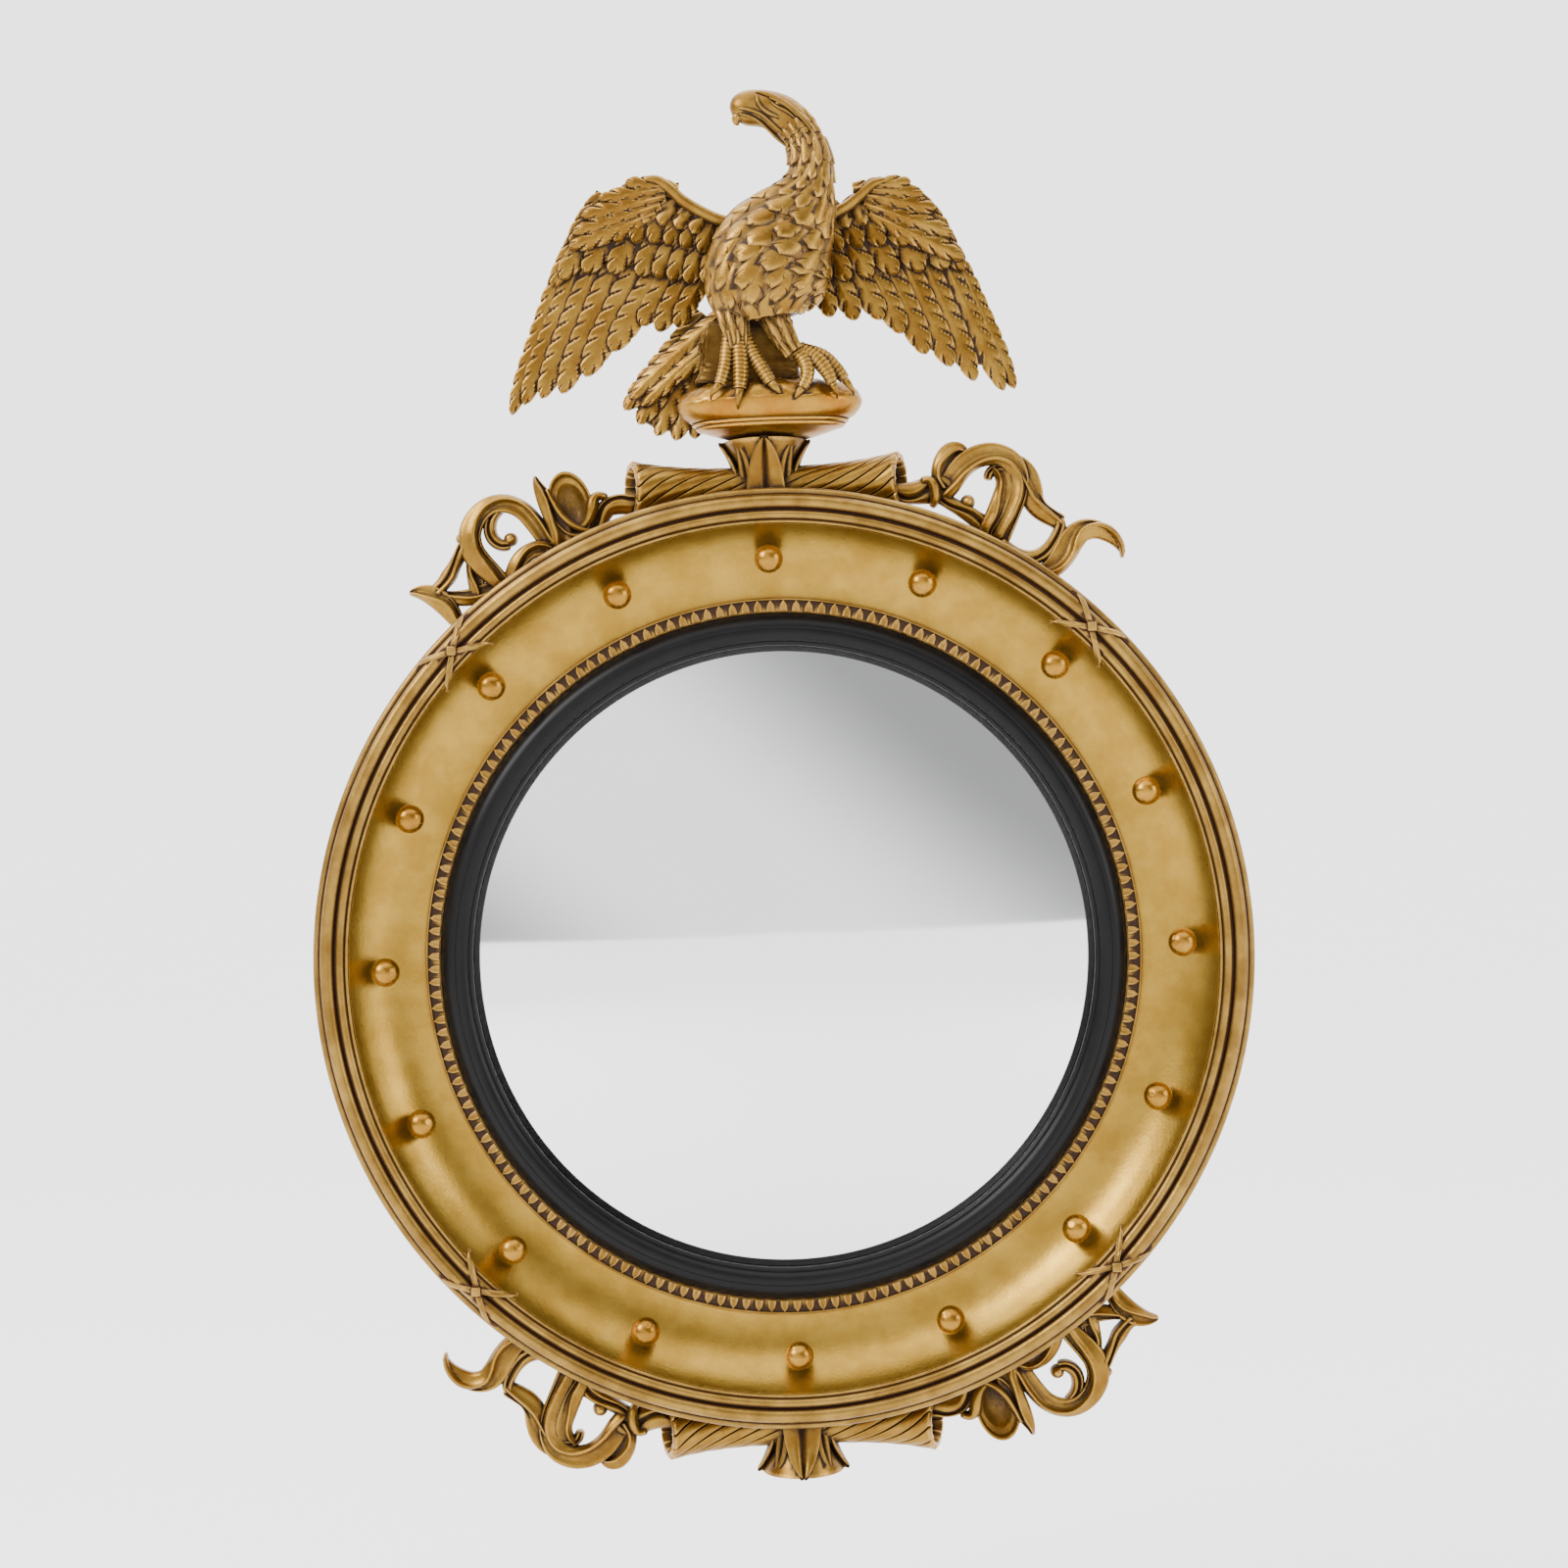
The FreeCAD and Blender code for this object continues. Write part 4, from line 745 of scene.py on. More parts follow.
def wind(piece, route, headings, twist):
    """Lean the ridges of a strand to one side and back along its way, as a twisted leaf lies."""
    spots = points_of(piece)
    middles = np.array([(row[0], -row[3], row[1]) for row in route]) * MM
    for index, spot in enumerate(spots):
        near = int(np.argmin(((middles - spot) ** 2).sum(1)))
        share = near / max(1, len(route) - 1)
        across = np.array((math.cos(headings[near]), 0.0, -math.sin(headings[near])))
        arm = spot - middles[near]
        side = float(arm @ across) / (route[near][2] * MM)
        front = -arm[1] / (route[near][4] * MM)
        if front > 0.3 and abs(side) < 0.9:
            lean = twist * math.sin(math.tau * share) * (1 - side * side) * route[near][2] * MM
            spots[index] = spot + across * lean
    move_points(piece, spots)


def on_rim(along, above):
    """A point this far along the rim from its top, and this far above it."""
    angle = along / RIM
    return (RIM + above) * math.sin(angle), (RIM + above) * math.cos(angle)


def scroll_strand(name, side, route, profile, twist=0.0, forward=0.0):
    """A strand of a scroll, through (along the rim, above it, half width, and how far forward it stands)."""
    stations = []
    for along, above, half, *lift in route:
        x, z = on_rim(along, above)
        thick = max(10.5 * min(1.0, 0.55 + half / 20), half * 0.95)
        stations.append((side * x, z, half, CREST_DEPTH + forward + (lift[0] if lift else 0.0), thick))
    return strand(name, stations, profile, twist)


def knob(side, along, above, radius, forward=0.0):
    """A small round bead on a scroll."""
    x, z = on_rim(along, above)
    put_down()
    bpy.ops.mesh.primitive_uv_sphere_add(segments=20, ring_count=12, radius=radius * MM,
                                         location=at(side * x, CREST_DEPTH + forward, z))
    bead = named("knob")
    open_all(bead)
    bpy.ops.transform.resize(value=(1, 1.7, 1), center_override=at(side * x, CREST_DEPTH + forward, z))
    put_down()
    return bead


def cupped_leaf(side, along, above, wide, tall, lean):
    """A dished leaf with a rolled edge, as a shallow oval cup that faces the viewer."""
    x, z = on_rim(along, above)
    centre = at(side * x, CREST_DEPTH, z)
    put_down()
    bpy.ops.mesh.primitive_circle_add(vertices=40, radius=MM, location=at(side * x, CREST_DEPTH - 9, z),
                                      rotation=(math.radians(90), 0, 0), fill_type="NGON")
    cup = named("cup")
    open_all(cup)
    bpy.ops.transform.resize(value=(wide * 0.8, 1, tall * 0.8), center_override=centre)
    steps = [(7, 1.16), (7, 1.1), (4.5, 1.02), (1.2, 0.95), (-0.6, 0.93), (-2.6, 0.94), (-1.2, 0.9),
             (0.3, 0.9), (-2.4, 0.86), (-3.0, 0.7), (-1.2, 0.5)]
    for shift, growth in steps:
        bpy.ops.mesh.extrude_region_move(TRANSFORM_OT_translate={"value": (0, -shift * MM, 0)})
        bpy.ops.transform.resize(value=(growth, 1, growth), center_override=centre)
    bpy.ops.mesh.select_all(action="SELECT")
    bpy.ops.transform.rotate(value=math.radians(lean), orient_axis="Y", center_override=centre)
    put_down()
    return softened(sealed(cup), 1)


def seat(side, first, last):
    """The plain foot that carries a scroll on the back ring, behind the reeds."""
    corners = [(330.4, 31.0), (339.4, 31.0), (339.4, 49.0), (330.4, 49.0)]
    piece = drawn("seat", corners)
    put_down()
    piece.data.vertices[0].select = True
    piece.data.vertices[3].select = True
    take_up(piece)
    bpy.ops.object.mode_set(mode="EDIT")
    bpy.ops.mesh.edge_face_add()
    bpy.ops.mesh.select_all(action="SELECT")
    bpy.ops.mesh.edge_face_add()
    start, sweep = math.degrees(first / RIM), math.degrees((last - first) / RIM)
    put_down()
    piece.data.transform(turned_by(side * start))
    take_up(piece)
    bpy.ops.object.mode_set(mode="EDIT")
    bpy.ops.mesh.select_all(action="SELECT")
    bpy.ops.mesh.spin(steps=24, angle=math.radians(-side * sweep), center=MIDDLE, axis=FRONT_AXIS)
    return sealed(piece)


def curled_scroll():
    """The crest's left scroll: a cupped leaf, a pointed leaf, a loop with a volute in it, and a branch."""
    side = -1
    pieces = [
        scroll_strand("stem", side,
                      [(90, 9, 7), (98, 10, 7.6), (106, 13, 7.6), (114, 14, 7.2), (121, 10, 7.2), (129, 4, 7),
                                     (139, 1, 6.5), (150, 0, 5.5)], STEM, 0.4),
        scroll_strand("stem_curl", side,
                      [(112, 20, 3, 4), (117, 24, 3.6, 5), (122, 22, 4.8, 6), (126, 15, 5, 6),
                                          (131, 9, 4.4, 5), (139, 6, 3.4, 3)], ROUND),
        cupped_leaf(side, 137, 26, 15.5, 24.0, 14),
        scroll_strand("leaf", side,
                      [(150, 57, 1.0, 2), (151, 50, 3.2, 3), (151, 40, 5.2, 4), (151, 28, 6.4, 5),
                       (151, 16, 7.2, 5), (153, 7, 7.6, 4), (158, 1, 7, 2)], LEAFY, -0.35),
        scroll_strand("leaf_rim", side,
                      [(147, 44, 1.6, 7), (147, 34, 2.2, 8), (146, 22, 2.6, 8), (142, 11, 2.8, 7),
                       (134, 3, 2.8, 5), (124, 1, 2.2, 3)], ROUND),
        scroll_strand("arch", side,
                      [(160, 2, 6), (163, 13, 6.4, 1), (165, 27, 6.2, 1), (168, 40, 6, 2), (175, 50, 6, 2),
                       (185, 54.5, 6.2, 2), (196, 52.5, 6.8, 2), (205, 45.5, 7.2, 3), (210, 35, 7.6, 3),
                       (210.5, 24, 7.6, 3), (209, 13, 7, 2), (207.5, 2, 6, 1)], LEAFY, 0.6),
        scroll_strand("volute", side,
                      [(178, 49, 3, -1), (187, 46.5, 4.4, -1), (193, 40, 5, -1), (194.5, 32, 5, 0),
                                       (191.5, 25, 4.6, 1), (186.5, 22.5, 3.8, 2)], STEM),
        knob(side, 184.6, 25.5, 5.2, 2),
        scroll_strand("bridge", side,
                      [(162, 3, 4.8), (171, 9, 5.2, 2), (181, 10.5, 5.4, 2), (191, 7.5, 5.4, 2), (201, 1, 5)],
                      LEAFY, 0.3),
        scroll_strand("branch", side,
                      [(203, 43, 4, 0), (211, 41.5, 5.6, 1), (219, 38, 4.8, 1), (227, 34.5, 5.0),
                       (233, 32, 6.2), (240, 30.5, 5.2), (248, 29.5, 6)], STEM, 0.3),
        knob(side, 211.5, 47.5, 3.6, 1),
        scroll_strand("branch_leaf", side,
                      [(214, 31, 3.4, 1), (217, 24, 5, 1), (221, 16, 5.4, 1), (226, 8, 5), (231, 0, 4)],
                      LEAFY, 0.4),
        scroll_strand("curl", side,
                      [(260, 43, 1.4), (255.5, 39, 4, 1), (251, 32, 6.2, 2), (248.5, 23, 7, 2),
                       (248.5, 14, 6.6, 1), (250, 5, 5.2), (251, -3, 4)], LEAFY, 0.4),
        scroll_strand("rim_leaf", side,
                      [(245, 26, 2.4), (240, 17, 4.6), (232, 10, 5.4, 1), (222, 6, 5.4, 1), (212, 3, 5)],
                      LEAFY, -0.3),
        seat(side, 115, 255),
    ]
    return smoothed(gathered(pieces, "curled_scroll"), 60)


def heart_scroll():
    """The crest's right scroll: folded leaves round a heart-shaped opening, and a leaf that flies out."""
    side = 1
    pieces = [
        scroll_strand("stem", side,
                      [(90, 9, 7), (98, 10.5, 7.6), (106, 13, 8.6), (114, 17, 9.8), (122, 21, 10.6),
                       (130, 22, 9.6)],
                      STEM, 0.4),
        scroll_strand("stem_fold", side,
                      [(108, 22, 3, 5), (114, 25, 3.8, 6), (119, 20, 4.4, 7), (122, 12, 4, 6),
                       (121, 6, 2.6, 4)],
                      ROUND),
        scroll_strand("tip", side,
                      [(133, 50, 1.6, 0), (128, 54, 4, 1), (122, 51, 5.8, 2), (119.5, 42, 6.6, 3),
                       (121, 32, 7.2, 3), (127, 22, 6.4, 2)], LEAFY, -0.4),
        scroll_strand("arch", side,
                      [(125, 16, 6, 2), (128, 27, 7.4, 3), (131, 40, 7.6, 4), (138, 52, 7.4, 4),
                       (148, 59, 7.4, 3), (159, 58.5, 7.6, 3), (167, 51, 7.4, 3), (171, 40, 7.4, 4),
                       (172.5, 28, 7.4, 4), (174, 16, 7, 3), (176, 4, 6.2, 1)], LEAFY, 0.6),
        scroll_strand("arch_fold", side,
                      [(150, 50, 3, 2), (157, 48, 5, 4), (162, 41, 5.6, 6), (163.5, 30, 5.8, 7),
                       (164, 18, 5.4, 6), (163.5, 7, 4.6, 4), (166, -1, 4, 1)], LEAFY, 0.4),
        scroll_strand("hook", side,
                      [(160, 53, 3, 1), (154, 51, 4, 1), (150, 46, 4.2, 0), (150.5, 39.5, 3.2, 0)], STEM),
        scroll_strand("shoulder", side,
                      [(156, 61, 3, 0), (164, 60.5, 5.4, 0), (172, 56, 6.6, 1), (178.5, 48.5, 7, 1),
                                         (183, 41.5, 7, 1), (190, 37.5, 6.2), (199, 37, 5.6), (208, 38, 5)],
                                         LEAFY, 0.6),
        scroll_strand("link", side,
                      [(122, 17, 5.4), (131, 14.5, 5.2), (141, 13, 5.6), (151, 11, 6.2), (161, 9, 6.6)],
                      STEM, 0.3),
        knob(side, 144, 19.5, 5.6, 0),
        scroll_strand("cup", side,
                      [(176, 4, 4.6), (183, 1, 5.4), (193, 0.6, 5.6), (202, 4, 5.6), (208, 12, 5.6),
                       (210, 22, 5.6), (208.5, 33, 5), (204, 40, 3.6)], STEM, 0.3),
        scroll_strand("leaf", side,
                      [(214, -3, 5), (219, 7, 7, 1), (220, 19, 8, 2), (219, 31, 8.2, 2), (221, 41, 7.4, 2),
                                     (228, 48, 6, 1), (237, 50.5, 4.8), (245, 50, 3.4), (252, 46.5, 1.4)],
                                     LEAFY, 0.6),
        scroll_strand("leaf_end", side,
                      [(221, 44, 2.4, 3), (229, 52, 3.2, 3), (238, 53.5, 3.2, 3), (247, 50, 2.8, 2),
                       (253, 43.5, 1.4, 1)],
                      ROUND),
        seat(side, 125, 225),
    ]
    return smoothed(gathered(pieces, "heart_scroll"), 60)


curled = curled_scroll()
heart = heart_scroll()
finished(copied(curled, "carved_pendant_scroll_right", turned_by(180)), carved_gold, ["pendant_scroll_right"])
finished(copied(heart, "carved_pendant_scroll_left", turned_by(180)), carved_gold, ["pendant_scroll_left"])
curled.name = "carved_crest_scroll_left"
heart.name = "carved_crest_scroll_right"
finished(curled, carved_gold, ["crest_scroll_left"])
finished(heart, carved_gold, ["crest_scroll_right"])

# ---------------------------------------------------------------- leaf socket


def stacked(name, centre_x, depth, floors, vertices, squash):
    """Pull an oval upward, floor by floor, through (height, half width)."""
    put_down()
    height, half = floors[0]
    bpy.ops.mesh.primitive_circle_add(vertices=vertices, radius=half * MM,
                                      location=at(centre_x, depth, height), fill_type="NGON")
    piece = named(name)
    centre = at(centre_x, depth, height)
    open_all(piece)
    bpy.ops.transform.resize(value=(1, squash, 1), center_override=centre)
    for above, wide in floors[1:]:
        bpy.ops.mesh.extrude_region_move(TRANSFORM_OT_translate={"value": (0, 0, (above - height) * MM)})
        bpy.ops.transform.resize(value=(wide / half, wide / half, 1), center_override=centre)
        height, half = above, wide
    put_down()
    return sealed(piece)


def lotus_leaf(half, height, flare, facing, sink=0.0):
    """One pointed leaf of the socket, with a sunk midrib and a flaring tip, turned so far round the vase."""
    put_down()
    bpy.ops.mesh.primitive_grid_add(x_subdivisions=16, y_subdivisions=16, size=2.0)
    leaf = named("lotus_leaf")
    shaped = []
    for across, along, _ in points_of(leaf):
        share = (along + 1) / 2
        wide = half * (1.0 - 0.1 * share) * max(0.02, 1.0 - share ** 2.6) ** 0.62
        swell = 2.3 * (1.0 - (2.0 * abs(across) - 1.0) ** 2)
        rib = 2.6 * math.exp(-(across / 0.13) ** 2) * (1.0 - 0.4 * share)
        edge = 0.7 * math.exp(-((abs(across) - 0.93) / 0.06) ** 2)
        out = 19.0 - sink + 1.5 * share + flare * share ** 2.6 + swell - rib + edge
        shaped.append(Vector((across * wide, -out, 331.0 + share * height)) * MM)
    move_points(leaf, shaped)
    take_up(leaf)
    bpy.ops.object.modifier_add(type="SOLIDIFY")
    wall = leaf.modifiers[-1]
    wall.thickness = 3.2 * MM
    wall.offset = -1.0
    bpy.ops.object.modifier_apply(modifier=wall.name)
    leaf.data.transform(Matrix.Translation(at(0, CREST_DEPTH, 0)) @ Matrix.Rotation(math.radians(facing), 4,
                                                                                    "Z"))
    return softened(sealed(leaf), 1)


def leaf_socket():
    """The vase of leaves at the top of the rim, on its block against the back ring."""
    floors = [(330.4, 15.5), (345, 17), (355, 18.6), (361, 21), (368, 24.5), (374, 28), (377.9, 29.6)]
    core = stacked("vase", 0, CREST_DEPTH, floors, 48, 1.0)
    put_down()
    bpy.ops.mesh.primitive_cube_add(size=1.0, location=at(0, 24, 354.0), scale=(28 * MM, 35.4 * MM, 47 * MM))
    block = named("block")
    open_all(block, "EDGE")
    bpy.ops.mesh.bevel(offset=1.0 * MM, segments=2)
    put_down()
    leaves = [lotus_leaf(15.2, 46.6, 9.5, 0, -1.6), lotus_leaf(13.5, 46.4, 12.0, 90),
              lotus_leaf(13.5, 46.4, 12.0, -90)]
    leaves += [lotus_leaf(8.5, 45.5, 7.0, 46, 1.2), lotus_leaf(8.5, 45.5, 7.0, -46, 1.2)]
    leaves += [lotus_leaf(8.0, 45.5, 7.0, 134, 2.0), lotus_leaf(8.0, 45.5, 7.0, -134, 2.0)]
    return smoothed(gathered([core, block] + leaves, "leaf_socket"), 45)


socket = leaf_socket()
finished(copied(socket, "pendant_leaf_socket", turned_by(180)), carved_gold, ["pendant_socket"])
socket.name = "crest_leaf_socket"
finished(socket, carved_gold, ["crest_socket"])

# ---------------------------------------------------------------- perch and stump


def roughened(piece, size, low, high, seed, only=None):
    """Beat a surface up and down, as gesso over rough carving, where the test says so."""
    mesh = piece.data
    spots = points_of(piece)
    normals = np.array([vertex.normal for vertex in mesh.vertices])
    for index, spot in enumerate(spots):
        x, z = spot[0] / MM, spot[2] / MM
        if only and not only(x, z):
            continue
        coarse = math.sin(x * 0.35 + seed) * math.sin(z * 0.5 + seed * 2)
        coarse *= math.cos(spot[1] / MM * 0.4 + seed)
        spots[index] = spot + normals[index] * (coarse * high + chance.uniform(-low, low)) * size * MM
    move_points(piece, spots)


def carved_perch():
    """The dished perch: a foot that the gilding's toning and painted shade darken, two mouldings, a smooth
    gold belly and a rough rocky top.
    """
    floors = [(378.0, 25), (380.0, 33), (383.0, 43), (385.4, 50), (386.2, 53.5), (387.4, 54.8),
              (388.4, 54.6), (388.7, 53.6), (389.0, 55.8), (390.2, 57.4), (391.2, 57.2), (391.6, 56.2),
              (392.4, 58.6), (395, 62.4), (398, 65.2), (401, 67.0), (404, 68.0), (406.0, 68.0),
              (406.8, 67.0), (408.5, 66.6), (411, 64.6), (413.5, 62.0), (415.6, 58.6), (417.4, 54),
              (418.8, 48), (419.5, 40), (419.8, 30), (419.9, 20), (419.9, 8)]
    perch = stacked("perch", PERCH_CENTRE, PERCH_DEPTH, floors, 112, 0.56)
    roughened(perch, 1.0, 0.42, 1.0, 3.0, lambda x, z: z > 406.5)
    take_up(perch)
    bpy.ops.object.mode_set(mode="EDIT")
    bpy.ops.mesh.select_all(action="SELECT")
    bpy.ops.mesh.bisect(plane_co=at(0, 6.2, 0), plane_no=(0, 1, 0), use_fill=True, clear_outer=True)
    put_down()
    return smoothed(sealed(perch), 50)


perch_gold = gold_leaf("gilt perch", (0.34, 0.178, 0.024), (0.26, 0.098, 0.008), HOLLOW, rough=0.3)
finished(carved_perch(), perch_gold, ["perch"])


def rough_stump():
    """The rocky stump behind the eagle's legs."""
    outline = [(-50, 0), (-43, 14), (-46, 30), (-37, 45.5), (25, 45.5), (21, 30), (27, 12), (28, 0)]
    put_down()
    bpy.ops.mesh.primitive_plane_add(size=MM, location=at(outline[0][0], 37.2, 420.1 + outline[0][1]))
    stump = named("stump")
    open_all(stump)
    bpy.ops.mesh.merge(type="CENTER")
    for before, after in zip(outline, outline[1:]):
        step = at(after[0] - before[0], 0, after[1] - before[1])
        bpy.ops.mesh.extrude_region_move(TRANSFORM_OT_translate={"value": step})
    bpy.ops.mesh.select_all(action="SELECT")
    bpy.ops.mesh.edge_face_add()
    bpy.ops.mesh.extrude_region_move(TRANSFORM_OT_translate={"value": (0, -16.5 * MM, 0)})
    bpy.ops.mesh.select_all(action="SELECT")
    bpy.ops.mesh.bevel(offset=2.5 * MM, segments=2)
    bpy.ops.mesh.select_all(action="SELECT")
    bpy.ops.mesh.quads_convert_to_tris()
    bpy.ops.mesh.subdivide(number_cuts=2)
    bpy.ops.mesh.subdivide(number_cuts=2)
    sealed(stump)
    roughened(stump, 1.0, 0.3, 1.2, 1.0, lambda x, z: 421 < z < 465)
    return smoothed(stump, 60)


finished(rough_stump(), shaded_stump_gold, ["eagle_stump"])

# ---------------------------------------------------------------- feathers


def feather_blank(across, along):
    """A flat blank for a feather, one thickness deep, from which every feather of its kind is copied."""
    put_down()
    bpy.ops.mesh.primitive_grid_add(x_subdivisions=across, y_subdivisions=along, size=2.0)
    blank = named("feather_blank")
    open_all(blank)
    bpy.ops.mesh.extrude_region_move(TRANSFORM_OT_translate={"value": (0, 0, -1)})
    return sealed(blank)


small_blank = feather_blank(4, 6)
long_blank = feather_blank(10, 46)


def quill(blank, length, half, point=0.0, crown=1.6, nick=0.0, shift=0.0):
    """Shares of a blank's points and the sideways and upward place of each, as one carved feather."""
    spots = points_of(blank)
    u, v = spots[:, 0], (spots[:, 1] + 1) / 2
    under = spots[:, 2] - spots[:, 2].max()
    end = np.clip((v - 0.66) / 0.34, 0, 1)
    rounded = np.sqrt(np.clip(1 - end ** 2.2, 0.002, 1))
    sharp = np.clip(1 - v, 0.02, 1) ** 0.75
    width = half * (0.7 + 0.3 * np.minimum(1, v / 0.3)) * (rounded * (1 - point) + sharp * point)
    side = np.abs(u)
    saw = (v * length / SLIT_PITCH - SLIT_SLANT * side + 0.5 * (u > 0) + shift) % 1.0
    slit = np.exp(-((saw - 0.5) / 0.11) ** 2) * np.clip((side - 0.25) / 0.3, 0, 1) * nick
    rise = crown * (1 - side ** 2.2) + 0.9 * np.exp(-(u / 0.13) ** 2) * (1 - v) * min(1.0, crown)
    rise = rise - 2.0 * slit
    return u, v, under, width * (1 - 0.16 * slit), rise


def fledged(blank, placed, along, across):
    """One feather: a copy of the blank with its points placed, and marked along and across its quill."""
    feather = blank.copy()
    feather.data = blank.data.copy()
    bpy.context.collection.objects.link(feather)
    move_points(feather, placed)
    for name, values in (("along", along), ("across", across)):
        mark = feather.data.attributes.new(name, "FLOAT", "POINT")
        mark.data.foreach_set("value", np.asarray(values, np.float32))
    return feather


def flat_feather(base, tip, half, low, high, blank=None, point=0.0, crown=1.8, nick=1.0, roll=1.2, bow=0.0,
                 thick=3.5):
    """A feather laid in a wing or tail, from base to tip as (x, z), its depth running from low to high."""
    blank = blank or long_blank
    way = np.array(tip, float) - np.array(base, float)
    length = math.hypot(*way)
    way = way / length
    shift = chance.random()
    u, v, under, width, rise = quill(blank, length, half, point, crown, nick, shift)
    aside = u * width + bow * 4 * v * (1 - v)
    x = base[0] + way[0] * v * length + way[1] * aside
    z = base[1] + way[1] * v * length - way[0] * aside
    depth = low + (high - low) * v + rise + roll * u + under * thick
    return fledged(blank, np.column_stack((x, -depth, z)) * MM, v * length + shift * SLIT_PITCH, u)


class Form:
    """A rounded form along a way, such as a neck or a thigh, on which feathers can be laid."""

    def __init__(self, stations):
        route = np.array(smooth_route(stations, 2.0))
        self.route = route
        steps = np.diff(route[:, [0, 1, 3]], axis=0)
        self.run = np.concatenate(([0], np.cumsum(np.linalg.norm(steps, axis=1))))
        way = np.gradient(route[:, :2], axis=0)
        self.heading = np.unwrap(np.arctan2(way[:, 0], way[:, 1]))

    def size_at(self, run):
        half = np.interp(run, self.run, self.route[:, 2])
        thick = np.interp(run, self.run, self.route[:, 4])
        return half, thick

    def point(self, run, angle, height):
        """Points this far along the form, at this angle (0 is its right, 90 its front), this far off it."""
        x, z, half, depth, thick = (np.interp(run, self.run, self.route[:, column]) for column in range(5))
        heading = np.interp(run, self.run, self.heading)
        turn = np.radians(angle)
        side, front = np.cos(turn), np.sin(turn)
        lean = np.hypot(side / half, front / thick)
        out = side * half + height * side / half / lean
        ahead = front * thick + height * front / thick / lean
        return np.column_stack((x + np.cos(heading) * out, -(depth + ahead), z - np.sin(heading) * out)) * MM

    def feather(self, run, angle, length, half, drift=0.0, point=0.0, crown=1.8, lift=2.4, blank=None,
                nick=0.0):
        """A feather laid on the form, its base this far along it, its tip towards the form's start."""
        blank = blank or small_blank
        shift = chance.random()
        u, v, under, width, rise = quill(blank, length, half, point, crown, nick, shift)
        wide, deep = self.size_at(run)
        spread = np.degrees(width * u / ((wide + deep) / 2))
        height = rise + lift * v - 1.2 + under * 2.6
        placed = self.point(run - v * length, angle + spread + drift * v, height)
        return fledged(blank, placed, v * length + shift * SLIT_PITCH, u)

    def ruff(self, run, length, half, first=-20.0, last=200.0, **look):
        """A row of feathers side by side round the form."""
        wide, deep = self.size_at(run)
        around = math.pi * (wide + deep) / 2 * (last - first) / 180
        count = max(3, round(around / (half * 1.7)))
        start = chance.uniform(-0.5, 0.5)
        row = []
        for index in range(count):
            angle = first + (index + 0.5 + start * 0.8) * (last - first) / count
            run_here = run + chance.uniform(-0.12, 0.12) * length
            row.append(self.feather(run_here, angle + chance.uniform(-2, 2),
                                    length * chance.uniform(0.9, 1.12), half * chance.uniform(0.92, 1.12),
                                    **look))
        return row


def board(name, outline, lift, back, thick, edge=1.2):
    """A carved board with this outline of (x, z) points, its back this far from the wall."""
    put_down()
    first = outline[0]
    bpy.ops.mesh.primitive_plane_add(size=MM, location=at(first[0], back, lift + first[1]))
    piece = named(name)
    open_all(piece)
    bpy.ops.mesh.merge(type="CENTER")
    for before, after in zip(outline, outline[1:]):
        step = at(after[0] - before[0], 0, after[1] - before[1])
        bpy.ops.mesh.extrude_region_move(TRANSFORM_OT_translate={"value": step})
    bpy.ops.mesh.select_all(action="SELECT")
    bpy.ops.mesh.edge_face_add()
    bpy.ops.mesh.extrude_region_move(TRANSFORM_OT_translate={"value": (0, -thick * MM, 0)})
    bpy.ops.mesh.select_all(action="SELECT")
    bpy.ops.mesh.bevel(offset=edge * MM, segments=2)
    return sealed(piece)


# ---------------------------------------------------------------- wings and tail


def row_of(feathers, low, high, step=0.35, **look):
    """A row of flat feathers, (base, tip, half width), each a little above the one before."""
    laid = []
    for index, (base, tip, half) in enumerate(feathers):
        laid.append(flat_feather(base, tip, half, low + index * step, high + index * step, **look))
    return laid


def carved_wing(name, side, outline, middle, rows, band):
    """One wing: two boards, five rows of feathers, the long ones first, and its leading band."""
    quills, second, first, scapular, shoulder = rows
    lean = -1.2 * side
    pieces = [board("wing", outline, EAGLE_FOOT, 22.6, 5.5),
              board("wing_middle", middle, EAGLE_FOOT, 27, 5.5)]
    pieces += row_of(quills, 26.5, 28.5, crown=1.3, point=0.12, roll=lean)
    pieces += row_of(second, 30.0, 33.5, nick=0.75, point=0.2, crown=1.5, roll=lean)
    pieces += row_of(first, 33.0, 36.5, nick=0.6, point=0.25, crown=1.6, roll=lean)
    pieces += row_of(scapular, 36, 38.5, blank=small_blank, crown=2.0, roll=lean)
    pieces += row_of(shoulder, 38, 37.5, step=0.8, roll=-0.5 * side, crown=2.4)
    pieces.append(strand("leading_band", band, ROUND))
    return smoothed(gathered(pieces, name), 55)


def tail_fan():
    outline = [(8, 27), (-32, 27), (-34, 8), (-60, -6), (-74, -20), (-88, -36), (-96, -50), (-90, -66),
               (-76, -74), (-56, -74), (-45, -40), (-26, -2), (8, 6)]
    pieces = [board("fan", outline, EAGLE_FOOT, 10.6, 7),
              board("root", [(7, 7), (7, 27), (-31, 27), (-31, 7)], EAGLE_FOOT, 17, 18.5)]
    fan = [((-38, 470), (-52, 385), 9), ((-40, 470), (-66, 384), 9.5), ((-42, 472), (-80, 388), 9.5),
           ((-44, 474), (-93, 397), 9.5), ((-42, 478), (-103, 408), 9)]
    pieces += row_of(fan, 15, 19, nick=1.2, roll=-1.4, step=0.7)
    over = [((-26, 478), (-98, 416), 7.5), ((-16, 474), (-90, 410), 6.5), ((-14, 468), (-66, 428), 6.5)]
    pieces += row_of(over, 27, 23, nick=0.7, roll=-1.0, step=1.6, crown=2.4)
    return smoothed(gathered(pieces, "carved_tail_fan"), 55)


